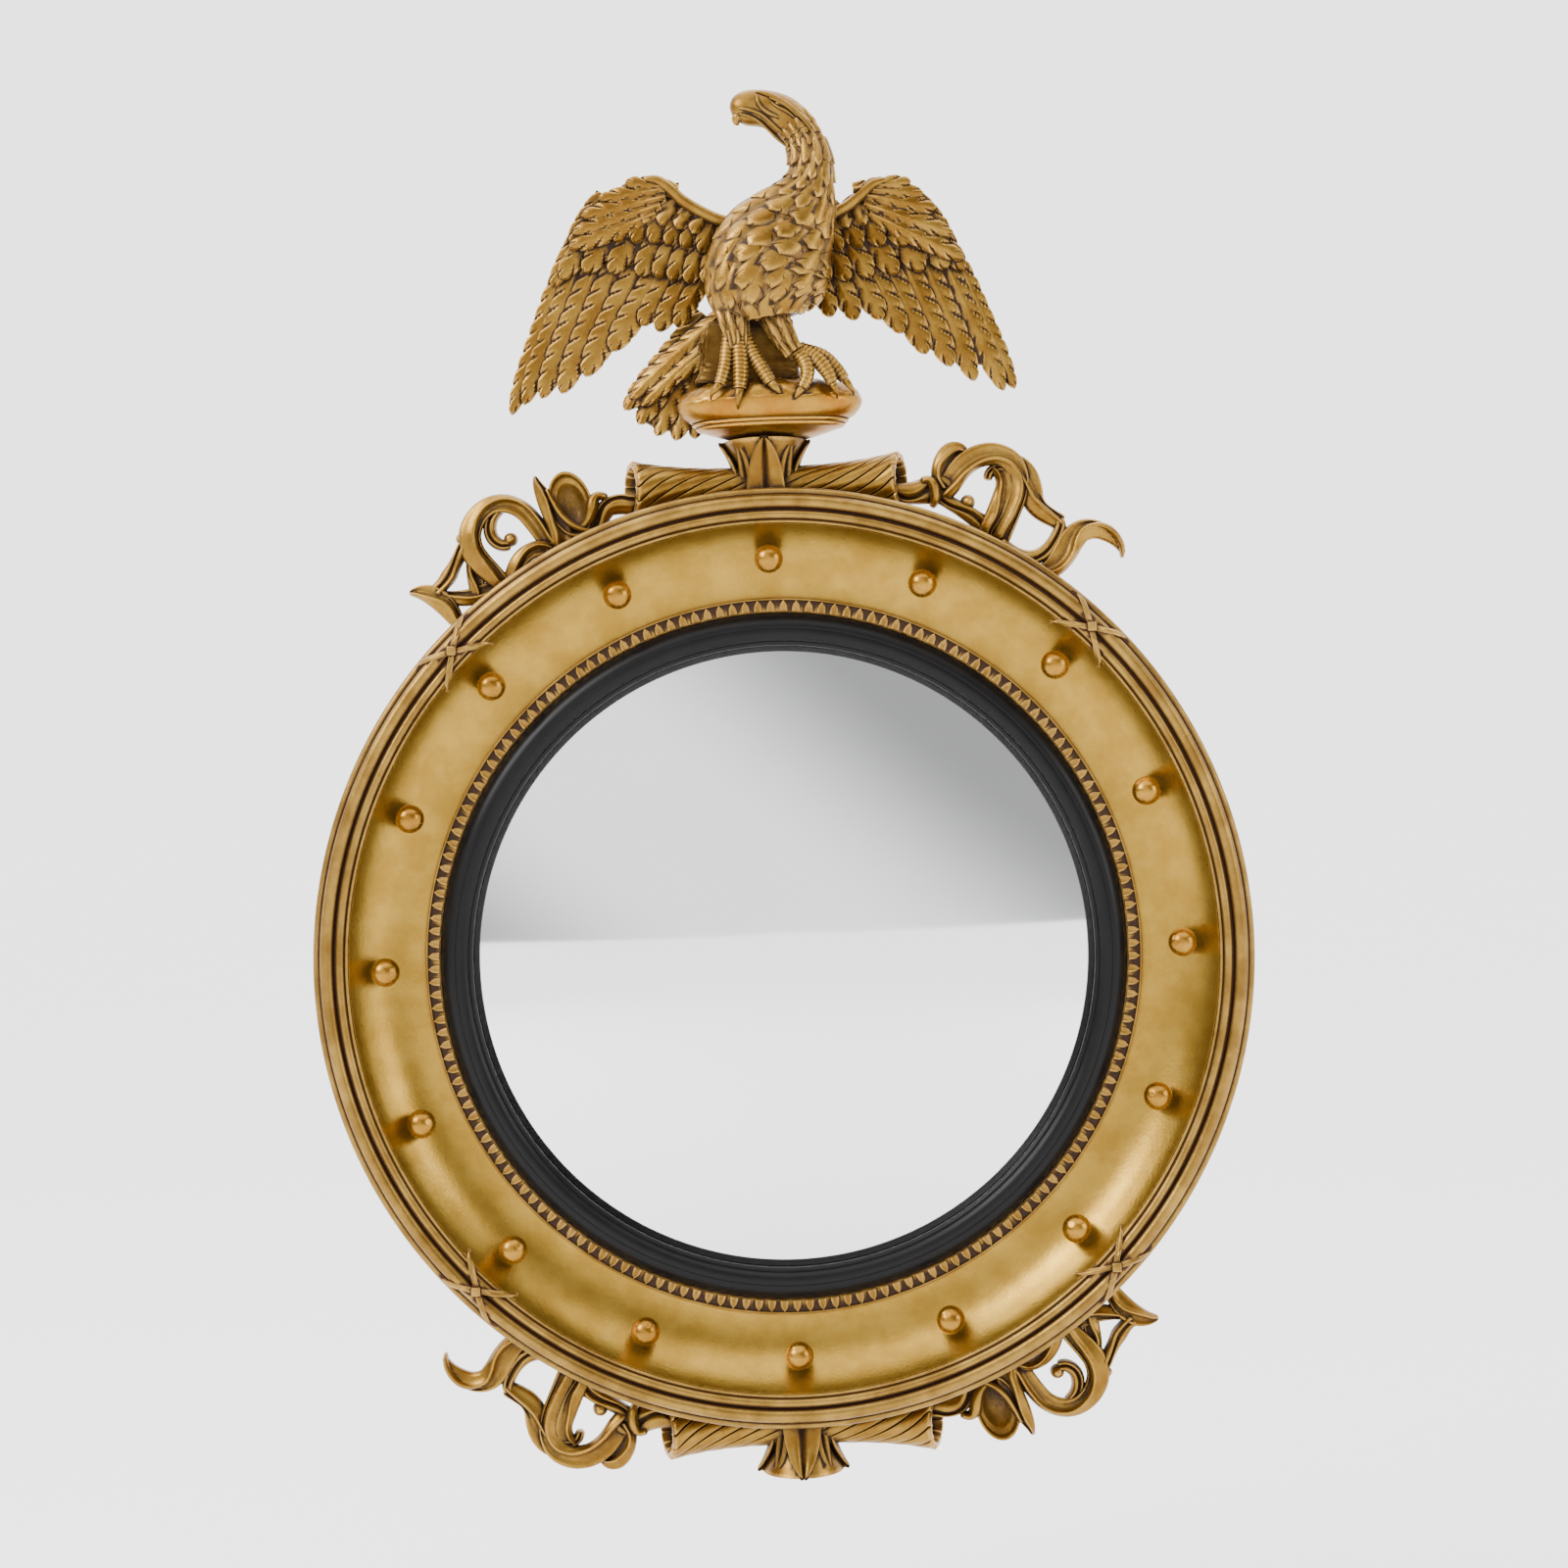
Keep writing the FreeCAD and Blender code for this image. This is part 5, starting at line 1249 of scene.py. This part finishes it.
left_wing = carved_wing(
    "carved_wing_left", -1,
    [
        (4, 70), (-10, 73), (-40, 82), (-62, 98), (-80, 105), (-91, 101), (-111, 90), (-123, 78),
        (-136, 52), (-145, 32), (-156, 4), (-169, -24), (-179, -40), (-160, -34), (-137, -20), (-110, 2),
        (-88, 15), (-66, 16), (-40, 32), (4, 36),
    ],
    [
        (4, 68), (-12, 70), (-40, 79), (-62, 95), (-90, 96), (-116, 82), (-128, 62), (-116, 57), (-92, 55),
        (-66, 52), (-46, 50), (4, 46),
    ],
    (
        [((-139, 528), (-186.5, 407), 8), ((-128, 526), (-177, 414), 9), ((-115, 524), (-164, 418), 10),
         ((-101, 522), (-149, 421), 10.5), ((-84, 520), (-131, 433), 11), ((-67, 516), (-111, 451), 10.5),
         ((-58, 514), (-88, 469), 9), ((-48, 512), (-76, 464), 8.5), ((-38, 508), (-62, 467), 8)],
        [((-126, 546), (-152, 500), 7.5), ((-116, 545), (-146, 505), 8.5), ((-100, 545), (-128, 509), 9),
         ((-84, 543), (-109, 508), 9), ((-68, 541), (-88, 505), 9), ((-57, 538), (-75, 503), 8),
         ((-48, 535), (-64, 500), 8), ((-38, 532), (-52, 498), 8), ((-28, 529), (-39, 497), 8)],
        [((-112, 566), (-137, 531), 8), ((-98, 566), (-119, 530), 8.5), ((-85, 565), (-104, 530), 8.5),
         ((-73, 563), (-91, 529), 8.5), ((-61, 560), (-78, 528), 8), ((-50, 555), (-66, 526), 7.5),
         ((-40, 550), (-54, 523), 7.5), ((-30, 545), (-42, 520), 7.5), ((-20, 541), (-30, 518), 7)],
        [((-92, 570), (-108, 546), 7), ((-80, 569), (-96, 544), 7), ((-68, 566), (-83, 542), 7),
         ((-57, 560), (-71, 540), 6.5), ((-46, 554), (-59, 537), 6), ((-36, 549), (-47, 533), 6)],
        [((-74, 549), (-138, 527), 7), ((-70, 555), (-135, 537), 7), ((-66, 561), (-128, 549), 7),
         ((-62, 567), (-115, 561), 6.5), ((-56, 566), (-95, 572), 6.5)],
    ),
    [
        (6, 536, 4, 36, 6), (-12, 539, 4.6, 37, 6), (-28, 543, 4.8, 38, 6), (-42, 550, 4.8, 39, 6),
        (-54, 558, 4.6, 40, 6), (-63, 567, 4.4, 41, 5.5), (-72, 573, 4, 41, 5), (-82, 574, 2.4, 40, 3.4),
    ],
)
right_wing = carved_wing(
    "carved_wing_right", 1,
    [
        (6, 70), (60, 81), (75, 86), (88, 97), (111, 95), (130, 77), (142, 61), (150, 32), (162, -3),
        (175, -28), (181, -40), (157, -34), (140, -22), (120, -10), (100, 6), (80, 16), (50, 16), (28, 18),
        (18, 22), (6, 36),
    ],
    [
        (6, 68), (60, 78), (76, 84), (92, 94), (114, 88), (131, 68), (136, 58), (120, 54), (96, 52),
        (70, 50), (50, 48), (6, 46),
    ],
    (
        [((141, 526), (187, 412), 8), ((132, 523), (179, 411), 9), ((119, 519), (158, 419), 10),
         ((105, 516), (141, 430), 10.5), ((92, 514), (123, 440), 10.5), ((79, 513), (106, 456), 10),
         ((66, 512), (91, 467), 9.5), ((53, 511), (72, 467), 9), ((40, 509), (54, 470), 8.5),
         ((28, 506), (38, 475), 8)],
        [((128, 540), (152, 500), 7.5), ((116, 536), (140, 502), 8.5), ((99, 534), (122, 501), 9),
         ((80, 533), (102, 499), 9), ((62, 531), (84, 498), 9), ((48, 529), (67, 496), 8.5),
         ((36, 527), (52, 495), 8), ((26, 525), (38, 493), 8)],
        [((118, 556), (141, 526), 8), ((106, 553), (127, 522), 8.5), ((90, 551), (110, 519), 8.5),
         ((74, 551), (93, 520), 8.5), ((59, 549), (77, 519), 8), ((46, 546), (62, 517), 7.5),
         ((35, 543), (49, 515), 7.5)],
        [((92, 563), (106, 540), 7), ((80, 560), (94, 537), 7), ((68, 556), (81, 535), 6.5),
         ((56, 552), (68, 533), 6.5)],
        [((84, 543), (152, 508), 7), ((80, 550), (145, 526), 7), ((78, 557), (133, 545), 7),
         ((76, 561), (124, 556), 6.5), ((72, 561), (115, 565), 6.5)],
    ),
    [
        (10, 534, 4, 36, 6), (32, 538, 4.4, 37, 6), (50, 542, 4.6, 38, 6), (66, 548, 4.6, 39, 6),
        (77, 556, 4.4, 40, 6), (87, 564, 4, 41, 5.5), (99, 567, 2.6, 40, 3.6),
    ],
)
finished(left_wing, feather_gold, ["eagle_wing_left"])
finished(right_wing, feather_gold, ["eagle_wing_right"])
finished(tail_fan(), feather_gold, ["eagle_tail"])

# ---------------------------------------------------------------- breast, neck and head

EAGLE_DEPTH = 62.0
BODY = [(8, -3, 23, 0, 18), (6, 14, 40, 0, 25), (8, 34, 43, 0, 28), (16, 52, 40, 0, 27),
        (27, 69, 32, 0, 23), (36, 84, 23, 3, 18), (41, 99, 15.6, 4, 15), (41, 114, 14.4, 2, 13.4),
        (37, 128, 14.4, 0, 13), (30, 139, 14.6, -1, 12.6), (21.5, 147, 14.6, -2, 12.2),
        (12, 151.5, 13.8, -4, 11.4), (3, 153.0, 13.4, -4, 11.0), (-4, 153.2, 13.2, -4, 10.4),
        (-9.5, 152.4, 11.2, -4, 8.8), (-13.2, 151.2, 7.6, -4, 6), (-15.2, 150.4, 2.6, -4, 2.6)]
ROUNDER = [(math.cos(math.tau * step / 32), math.sin(math.tau * step / 32)) for step in range(32)]
body_stations = [(x, z + EAGLE_FOOT, half, EAGLE_DEPTH + depth, thick) for x, z, half, depth, thick in BODY]
body_form = Form(body_stations)


def on_face(spots, half, lift):
    """Stations for a thin ridge drawn over the head, through (x, z) spots above the eagle's foot."""
    stations = []
    for index, (x, z) in enumerate(spots):
        gaps = np.hypot(body_form.route[:, 0] - x, body_form.route[:, 1] - z - EAGLE_FOOT)
        near = int(np.argmin(gaps))
        row = body_form.route[near]
        share = min(0.98, gaps[near] / row[2])
        front = row[3] + row[4] * math.sqrt(1 - share * share)
        taper = 0.45 if index in (0, len(spots) - 1) else 1.0
        stations.append((x, z + EAGLE_FOOT, half * taper, front + lift, half * taper * 1.1))
    return stations


def eagle_body():
    """The breast, neck and head: one rounded form, laid over with feathers, with a carved face."""
    base = strand("body", body_stations, ROUNDER, spacing=5.0)
    open_all(base)
    bpy.ops.mesh.bisect(plane_co=at(0, 36.3, 0), plane_no=(0, 1, 0), use_fill=True, clear_outer=True)
    pieces = [sealed(base)]
    for run, length, half, drift in ((18, 23, 8.5, 12), (31, 25, 9.5, 14), (44, 26, 9.5, 16),
                                     (57, 26, 9.5, 16), (70, 26, 9, 16), (83, 25, 8, 14),
                                     (95, 25, 7.5, 12)):
        pieces += body_form.ruff(run, length, half, -5, 190, drift=drift, crown=2.6, lift=3.2)
    for run, length, half in ((106, 23, 6), (116, 22, 5.6), (127, 21, 5.4), (138, 19, 5.0)):
        pieces += body_form.ruff(run, length, half, -45, 225, drift=10, point=0.25, crown=2.0, lift=2.6)
    for run in (143, 149, 155):
        pieces += body_form.ruff(run, 9.5, 3.4, 20, 165, crown=1.3, lift=1.5)
    hem = [(-24, 493, -29, 468, 77), (-12, 491, -16, 462, 82.5), (1, 490, -2, 461, 85),
           (14, 490, 14, 462, 85), (26, 492, 29, 466, 82), (37, 497, 42, 472, 77)]
    for x, z, end_x, end_z, depth in hem:
        pieces.append(flat_feather((x, z), (end_x, end_z), 8.4, depth, depth - 10, blank=small_blank,
                                   crown=2.6))
    ridges = [
        ([(3, 163), (11, 160.5), (20, 155.5), (29, 148.5), (38, 138.5), (44, 128)], 2.0, 0.0),
        ([(4, 161), (4.5, 155.5), (7.5, 150), (13, 145.5), (20, 142)], 1.3, 0.3),
        ([(13, 157.5), (20, 153.6), (27, 148.4), (33, 142)], 1.3, 0.6),
        ([(14, 154.5), (19, 149.6), (25, 146.2), (31, 141)], 1.0, 0.4),
        ([(-9, 147.2), (-2, 145), (5, 141.6), (12, 135.5), (18, 128.5), (26, 120)], 1.3, 0.4),
        ([(-10.5, 151.5), (-3, 149.4), (6, 146.2), (13, 140.4), (20, 133), (28, 125)], 1.2, 0.4),
    ]
    for number, (spots, half, lift) in enumerate(ridges):
        pieces.append(strand(f"ridge_{number}", on_face(spots, half, lift), ROUND, spacing=2.5))
    eye = on_face([(20.5, 152.6)], 1.0, 0.0)[0]
    hook = [(-9, 613, 5, 60, 5), (-11.6, 610.4, 4, 60, 4), (-11.4, 607.6, 2.6, 60, 3),
            (-9.4, 606.4, 0.8, 60, 1)]
    pieces.append(strand("beak_tip", hook, ROUND, spacing=2.0))
    put_down()
    bpy.ops.mesh.primitive_uv_sphere_add(segments=16, ring_count=10, radius=2.5 * MM,
                                         location=at(eye[0], eye[3] - 0.6, eye[1]))
    ball = named("eye")
    open_all(ball)
    bpy.ops.transform.resize(value=(1.25, 0.8, 0.8), center_override=at(eye[0], eye[3] - 0.6, eye[1]))
    put_down()
    pieces.append(ball)
    return smoothed(gathered(pieces, "carved_eagle_body"), 60)


finished(eagle_body(), feather_gold, ["eagle_body"])

# ---------------------------------------------------------------- legs

LEG_DEPTH = 70.0


def ringed(name, stations, pitch=3.1):
    """A toe with a scale ring every few millimetres, and a bare curved claw at its end."""
    route = smooth_route([(x, z + EAGLE_FOOT, w, LEG_DEPTH + d, t) for x, z, w, d, t in stations[:-1]], 0.8)
    run, rings = 0.0, []
    for index, row in enumerate(route):
        if index:
            run += float(np.linalg.norm(row[[0, 1, 3]] - route[index - 1][[0, 1, 3]]))
        swell = 1.0 + 0.1 * abs(math.sin(math.pi * run / pitch)) - 0.05
        rings.append((row[0], row[1], row[2] * swell, row[3], row[4] * 0.82 * swell))
    toe = strand(name, rings, ROUND, spacing=50.0, rounding=0)
    x, z, w, d, t = stations[-1]
    before = route[-1]
    claw = [tuple(before[:2]) + (before[2] * 0.8, before[3] + 1, before[4] * 0.6),
            ((before[0] + x) / 2, (before[1] + z + EAGLE_FOOT) / 2, before[2] * 0.62, LEG_DEPTH + d + 2.5,
             before[4] * 0.45),
            (x, z + EAGLE_FOOT, 1.3, LEG_DEPTH + d + 0.5, 1.4),
            (x, z + EAGLE_FOOT - 3.5, 0.4, LEG_DEPTH + d - 4, 0.5)]
    return [toe, strand(name + "_claw", claw, ROUND, spacing=2.0)]


def eagle_leg(name, thigh, toes, plumes):
    """A feathered thigh over ringed toes."""
    form = Form([(x, z + EAGLE_FOOT, w, LEG_DEPTH + d, t) for x, z, w, d, t in reversed(thigh)])
    pieces = [strand("thigh",
                     [(x, z + EAGLE_FOOT, w * 0.85, LEG_DEPTH + d, t * 0.85) for x, z, w, d, t in thigh],
                     ROUND)]
    whole = float(form.run[-1])
    for share, length, half in plumes:
        pieces += form.ruff(whole * share, length, half, 0, 180, point=0.6, crown=1.6, lift=1.4, drift=6)
    for number, toe in enumerate(toes):
        pieces += ringed(f"toe_{number}", toe)
    return smoothed(gathered(pieces, name), 60)


left_thigh = [(-20, 8, 14, -6, 11), (-19, -4, 11, -2, 11), (-17, -14, 8.5, 0, 9), (-16, -24, 7, 1, 7)]
left_toes = [
    [(-21, -10, 5.4, 0, 6), (-24, -26, 5.2, 3, 6), (-26, -38, 5, 6, 6), (-30, -50, 4.4, 8, 6),
     (-37, -58, 2, 8, 4)],
    [(-16, -10, 5.4, 2, 6), (-15, -28, 5.6, 6, 6), (-15, -42, 5.4, 9, 6), (-16, -54, 4.5, 11, 6),
     (-18, -66, 2, 12, 4)],
    [(-11, -14, 5, 0, 6), (-6, -28, 5.2, 4, 6), (0, -39, 5, 7, 6), (6, -50, 4.5, 9, 6), (13, -59, 2, 10, 4)],
]
right_thigh = [(10, 6, 13, -6, 11), (14, -7, 10, -2, 11), (19, -18, 8, 0, 9), (25, -28, 6.4, 2, 7)]
right_toes = [
    [(25, -24, 5.6, 0, 6), (32, -36, 5.6, 4, 6.5), (33, -46, 5, 7, 6), (29, -55, 3.8, 9, 5),
     (24, -62, 2, 10, 3)],
    [(27, -25, 5.6, 0, 6), (40, -34, 6, 3, 6.5), (47, -43, 5.4, 5, 6), (51, -52, 4, 6, 5),
     (54, -60, 2, 6, 3)],
    [(28, -26, 5.6, 0, 6), (44, -32, 5.8, 0, 6), (54, -41, 5, 0, 6), (60, -49, 4, 0, 5), (66, -58, 2, 0, 3)],
]
left_leg = eagle_leg("carved_leg_left", left_thigh, left_toes,
                     [(0.42, 17, 4.5), (0.68, 18, 5), (0.95, 18, 5.5)])
right_leg = eagle_leg("carved_leg_right", right_thigh, right_toes,
                      [(0.42, 17, 4.5), (0.68, 18, 5), (0.95, 18, 5.5)])
finished(left_leg, feather_gold, ["eagle_leg_left"])
finished(right_leg, feather_gold, ["eagle_leg_right"])
for blank in (small_blank, long_blank):
    bpy.data.objects.remove(blank)

# ---------------------------------------------------------------- staging


def mark_shade_and_ridges(pieces, reach=24.0, rays=12):
    """Feel every point of the gilding for how deep it lies, and for how far it stands out: the first mark
    lays the painted shade in its hollows, the second its painted highlight and some of its wear.
    """
    corners, faces = [], []
    for piece in pieces:
        base = len(corners)
        corners += [Vector(spot) for spot in points_of(piece)]
        faces += [[base + index for index in face.vertices] for face in piece.data.polygons]
    tree = BVHTree.FromPolygons(corners, faces)
    golden = math.pi * (3 - math.sqrt(5))
    fan = []
    for index in range(rays):
        lift = 1 - (index + 0.5) / rays * 0.92
        spread = math.sqrt(1 - lift * lift)
        fan.append((spread * math.cos(golden * index), spread * math.sin(golden * index), lift))
    far = reach * MM
    for piece in pieces:
        mesh = piece.data
        count = len(mesh.vertices)
        spots = points_of(piece)
        normals = np.array([vertex.normal for vertex in mesh.vertices])
        recess = np.zeros(count, np.float32)
        for index in range(count):
            normal = Vector(normals[index])
            side = normal.orthogonal().normalized()
            other = normal.cross(side)
            start = Vector(spots[index]) + normal * 0.25 * MM
            shut = 0.0
            for x, y, z in fan:
                hit = tree.ray_cast(start, side * x + other * y + normal * z, far)
                if hit[0] is not None:
                    shut += 1.0 - (hit[3] / far) ** 0.7
            recess[index] = shut / rays
        ends = np.array([edge.vertices[:] for edge in mesh.edges])
        way = spots[ends[:, 1]] - spots[ends[:, 0]]
        length = np.linalg.norm(way, axis=1) + 1e-9
        bend = np.zeros(count)
        met = np.zeros(count)
        np.add.at(bend, ends[:, 0], -(way * normals[ends[:, 0]]).sum(1) / length)
        np.add.at(bend, ends[:, 1], (way * normals[ends[:, 1]]).sum(1) / length)
        np.add.at(met, ends[:, 0], 1)
        np.add.at(met, ends[:, 1], 1)
        ridge = np.clip(bend / np.maximum(met, 1) * 3.0, 0, 1).astype(np.float32)
        for name, values in (("recess", recess), ("ridge", ridge)):
            mark = mesh.attributes.new(name, "FLOAT", "POINT")
            mark.data.foreach_set("value", values)


mark_shade_and_ridges(gilded)


# ---------------------------------------------------------------- back, ironwork and small fittings


def timber(name, light, dark, grain, rough=0.62):
    """Bare wood, its grain running up and down, with the dust and dark of age."""
    recipe = Recipe(name)
    lines = recipe.noise(grain, 5.0, 0.62, stretch=(1.0, 1.0, 0.07))
    age = recipe.noise(7.0, 4.0, 0.6)
    pores = recipe.noise(grain * 7.0, 2.0, 0.5, stretch=(1.0, 1.0, 0.05))
    colour = recipe.blended(recipe.between(lines, 0.35, 0.68), light, dark)
    colour = recipe.blended(recipe.between(age, 0.42, 0.74) * 0.6, colour,
                            tuple(value * 0.42 for value in dark))
    recipe.feed("Base Color", colour)
    recipe.feed("Roughness", lines * 0.2 + rough - 0.1)
    recipe.carve(lines * 0.7 + pores * 0.5, 0.3, 0.0006)
    return recipe.material


def fitting(name, bright, stained, rough, metallic=1.0, spots=60.0):
    """A metal fitting, stained with age."""
    recipe = Recipe(name)
    stain = recipe.between(recipe.noise(spots, 5.0, 0.65), 0.4, 0.68)
    grit = recipe.noise(spots * 14.0, 3.0)
    recipe.feed("Base Color", recipe.blended(stain, bright, stained))
    recipe.feed("Metallic", (1.0 - stain * 0.5) * metallic)
    recipe.feed("Roughness", stain * 0.25 + grit * 0.12 + rough)
    recipe.carve(grit, 0.25, 0.0003)
    return recipe.material


def felt():
    """Green felt with a short nap."""
    recipe = Recipe("wall felt")
    nap = recipe.noise(900.0, 4.0, 0.7)
    recipe.feed("Base Color", recipe.blended(nap, (0.03, 0.06, 0.045), (0.07, 0.115, 0.09)))
    recipe.feed("Roughness", 0.95)
    recipe.carve(nap, 0.8, 0.001)
    return recipe.material


softwood = timber("old softwood", (0.33, 0.2, 0.095), (0.2, 0.108, 0.045), 60.0)
board_wood = timber("backboard wood", (0.22, 0.128, 0.06), (0.12, 0.062, 0.027), 38.0)
iron = fitting("black iron", (0.03, 0.029, 0.028), (0.06, 0.032, 0.018), 0.42, 0.7)
steel = fitting("hanger steel", (0.34, 0.33, 0.31), (0.13, 0.1, 0.075), 0.3)
brass = fitting("old brass", (0.42, 0.28, 0.1), (0.16, 0.09, 0.03), 0.28)
screw_steel = fitting("screw steel", (0.3, 0.29, 0.28), (0.1, 0.07, 0.05), 0.32, spots=220.0)
shown = {
    softwood: ["back_ring", "glazing_blocks", "eagle_dowel"],
    board_wood: ["backboard"],
    iron: ["crest_strap", "pendant_strap"],
    steel: ["hanger_plate_left", "hanger_plate_right", "hanger_ring_left", "hanger_ring_right"],
    brass: ["turn_button_1", "turn_button_2", "turn_button_3", "turn_button_4"],
    screw_steel: ["back_screws"],
    felt(): ["wall_pads"],
}
for finish, labels in shown.items():
    for label in labels:
        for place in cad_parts[label].material_slots:
            place.link = "OBJECT"
            place.material = finish

# ---------------------------------------------------------------- studio


def pale_floor():
    """A plain, nearly white floor without shine."""
    recipe = Recipe("pale floor")
    recipe.shader.inputs["Base Color"].default_value = (0.86, 0.86, 0.86, 1.0)
    recipe.shader.inputs["Roughness"].default_value = 0.9
    recipe.shader.inputs["Specular IOR Level"].default_value = 0.1
    return recipe.material


FLOOR_LEVEL = -0.62
FLOOR_RADIUS = 60.0

put_down()
bpy.ops.mesh.primitive_circle_add(vertices=96, radius=FLOOR_RADIUS, fill_type="NGON",
                                  location=(0, 0, FLOOR_LEVEL))
floor = named("studio_floor")
floor.data.materials.append(pale_floor())


SOFT_BOX = (1.5, 1.5)


def soft_light(name, spot, target, size, power):
    """A square soft light at this spot, turned to its target; its power is in watts."""
    put_down()
    bpy.ops.object.light_add(type="AREA", location=spot)
    light = bpy.context.object
    light.name = name
    light.data.shape = "RECTANGLE"
    light.data.size, light.data.size_y = size
    light.data.energy = power
    light.rotation_mode = "QUATERNION"
    light.rotation_quaternion = (Vector(target) - Vector(spot)).to_track_quat("-Z", "Y")
    return light


soft_light("key", (-2.4, -1.6, 2.1), (0, 0, 0.1), SOFT_BOX, 120.0)
soft_light("fill", (2.7, -1.3, 0.8), (0, 0, 0.0), SOFT_BOX, 45.0)


BACK_STRENGTH = 2.9
TOP_STRENGTH = 3.4
BAND_WAY = (0.66, 0.0, 0.75)


def studio_walls():
    """A pale studio: bright behind and above the mirror, and grey before it, with one broad soft band of
    light that runs from high left to low right."""
    world = bpy.data.worlds.new("studio")
    bpy.context.scene.world = world
    world.use_nodes = True
    tree = world.node_tree

    def add(kind, inputs, output=0, **settings):
        made = tree.nodes.new(kind)
        for name, value in settings.items():
            setattr(made, name, value)
        for socket, value in inputs.items():
            if isinstance(value, bpy.types.NodeSocket):
                tree.links.new(value, made.inputs[socket])
            else:
                made.inputs[socket].default_value = value
        return made.outputs[output]

    way = add("ShaderNodeTexCoord", {}, output=0)
    across = add("ShaderNodeVectorMath", {0: way, 1: BAND_WAY}, output=1, operation="DOT_PRODUCT")
    behind = add("ShaderNodeVectorMath", {0: way, 1: (0.0, 1.0, 0.0)}, output=1, operation="DOT_PRODUCT")
    off = add("ShaderNodeMath", {0: across}, operation="ABSOLUTE")
    above = add("ShaderNodeVectorMath", {0: way, 1: (0.0, 0.0, 1.0)}, output=1, operation="DOT_PRODUCT")
    band = add("ShaderNodeMapRange",
               {"Value": off, "From Min": 0.12, "From Max": 0.55, "To Min": 2.1, "To Max": 0.55},
               interpolation_type="SMOOTHSTEP")
    share = add("ShaderNodeMapRange", {"Value": behind, "From Min": -0.1, "From Max": 0.25},
                interpolation_type="SMOOTHSTEP")
    top = add("ShaderNodeMapRange",
              {"Value": above, "From Min": 0.62, "From Max": 0.85, "To Min": 0.0, "To Max": TOP_STRENGTH},
              interpolation_type="SMOOTHSTEP")
    front = add("ShaderNodeMath",
                {0: band, 1: add("ShaderNodeMath", {0: 1.0, 1: share}, operation="SUBTRACT")},
                operation="MULTIPLY")
    back = add("ShaderNodeMath", {0: share, 1: BACK_STRENGTH}, operation="MULTIPLY")
    level = add("ShaderNodeMath", {0: front, 1: back}, operation="ADD")
    strength = add("ShaderNodeMath", {0: level, 1: top}, operation="ADD")
    sky = tree.nodes["Background"]
    sky.inputs["Color"].default_value = (1.0, 1.0, 1.0, 1.0)
    tree.links.new(strength, sky.inputs["Strength"])


studio_walls()

ROLL = math.radians(2.2)
DISTANCE = 1.9
put_down()
bpy.ops.object.camera_add(location=(0.1258 * math.tan(ROLL), -DISTANCE - 0.08, 0.1258))
camera = bpy.context.object
camera.data.sensor_width = 36.0
camera.data.lens = 36.0 * DISTANCE / 1.1298
camera.rotation_mode = "QUATERNION"
camera.rotation_quaternion = (Matrix.Rotation(ROLL, 3, "Y") @ Matrix.Rotation(math.radians(90), 3,
                                                                              "X")).to_quaternion()
bpy.context.scene.camera = camera
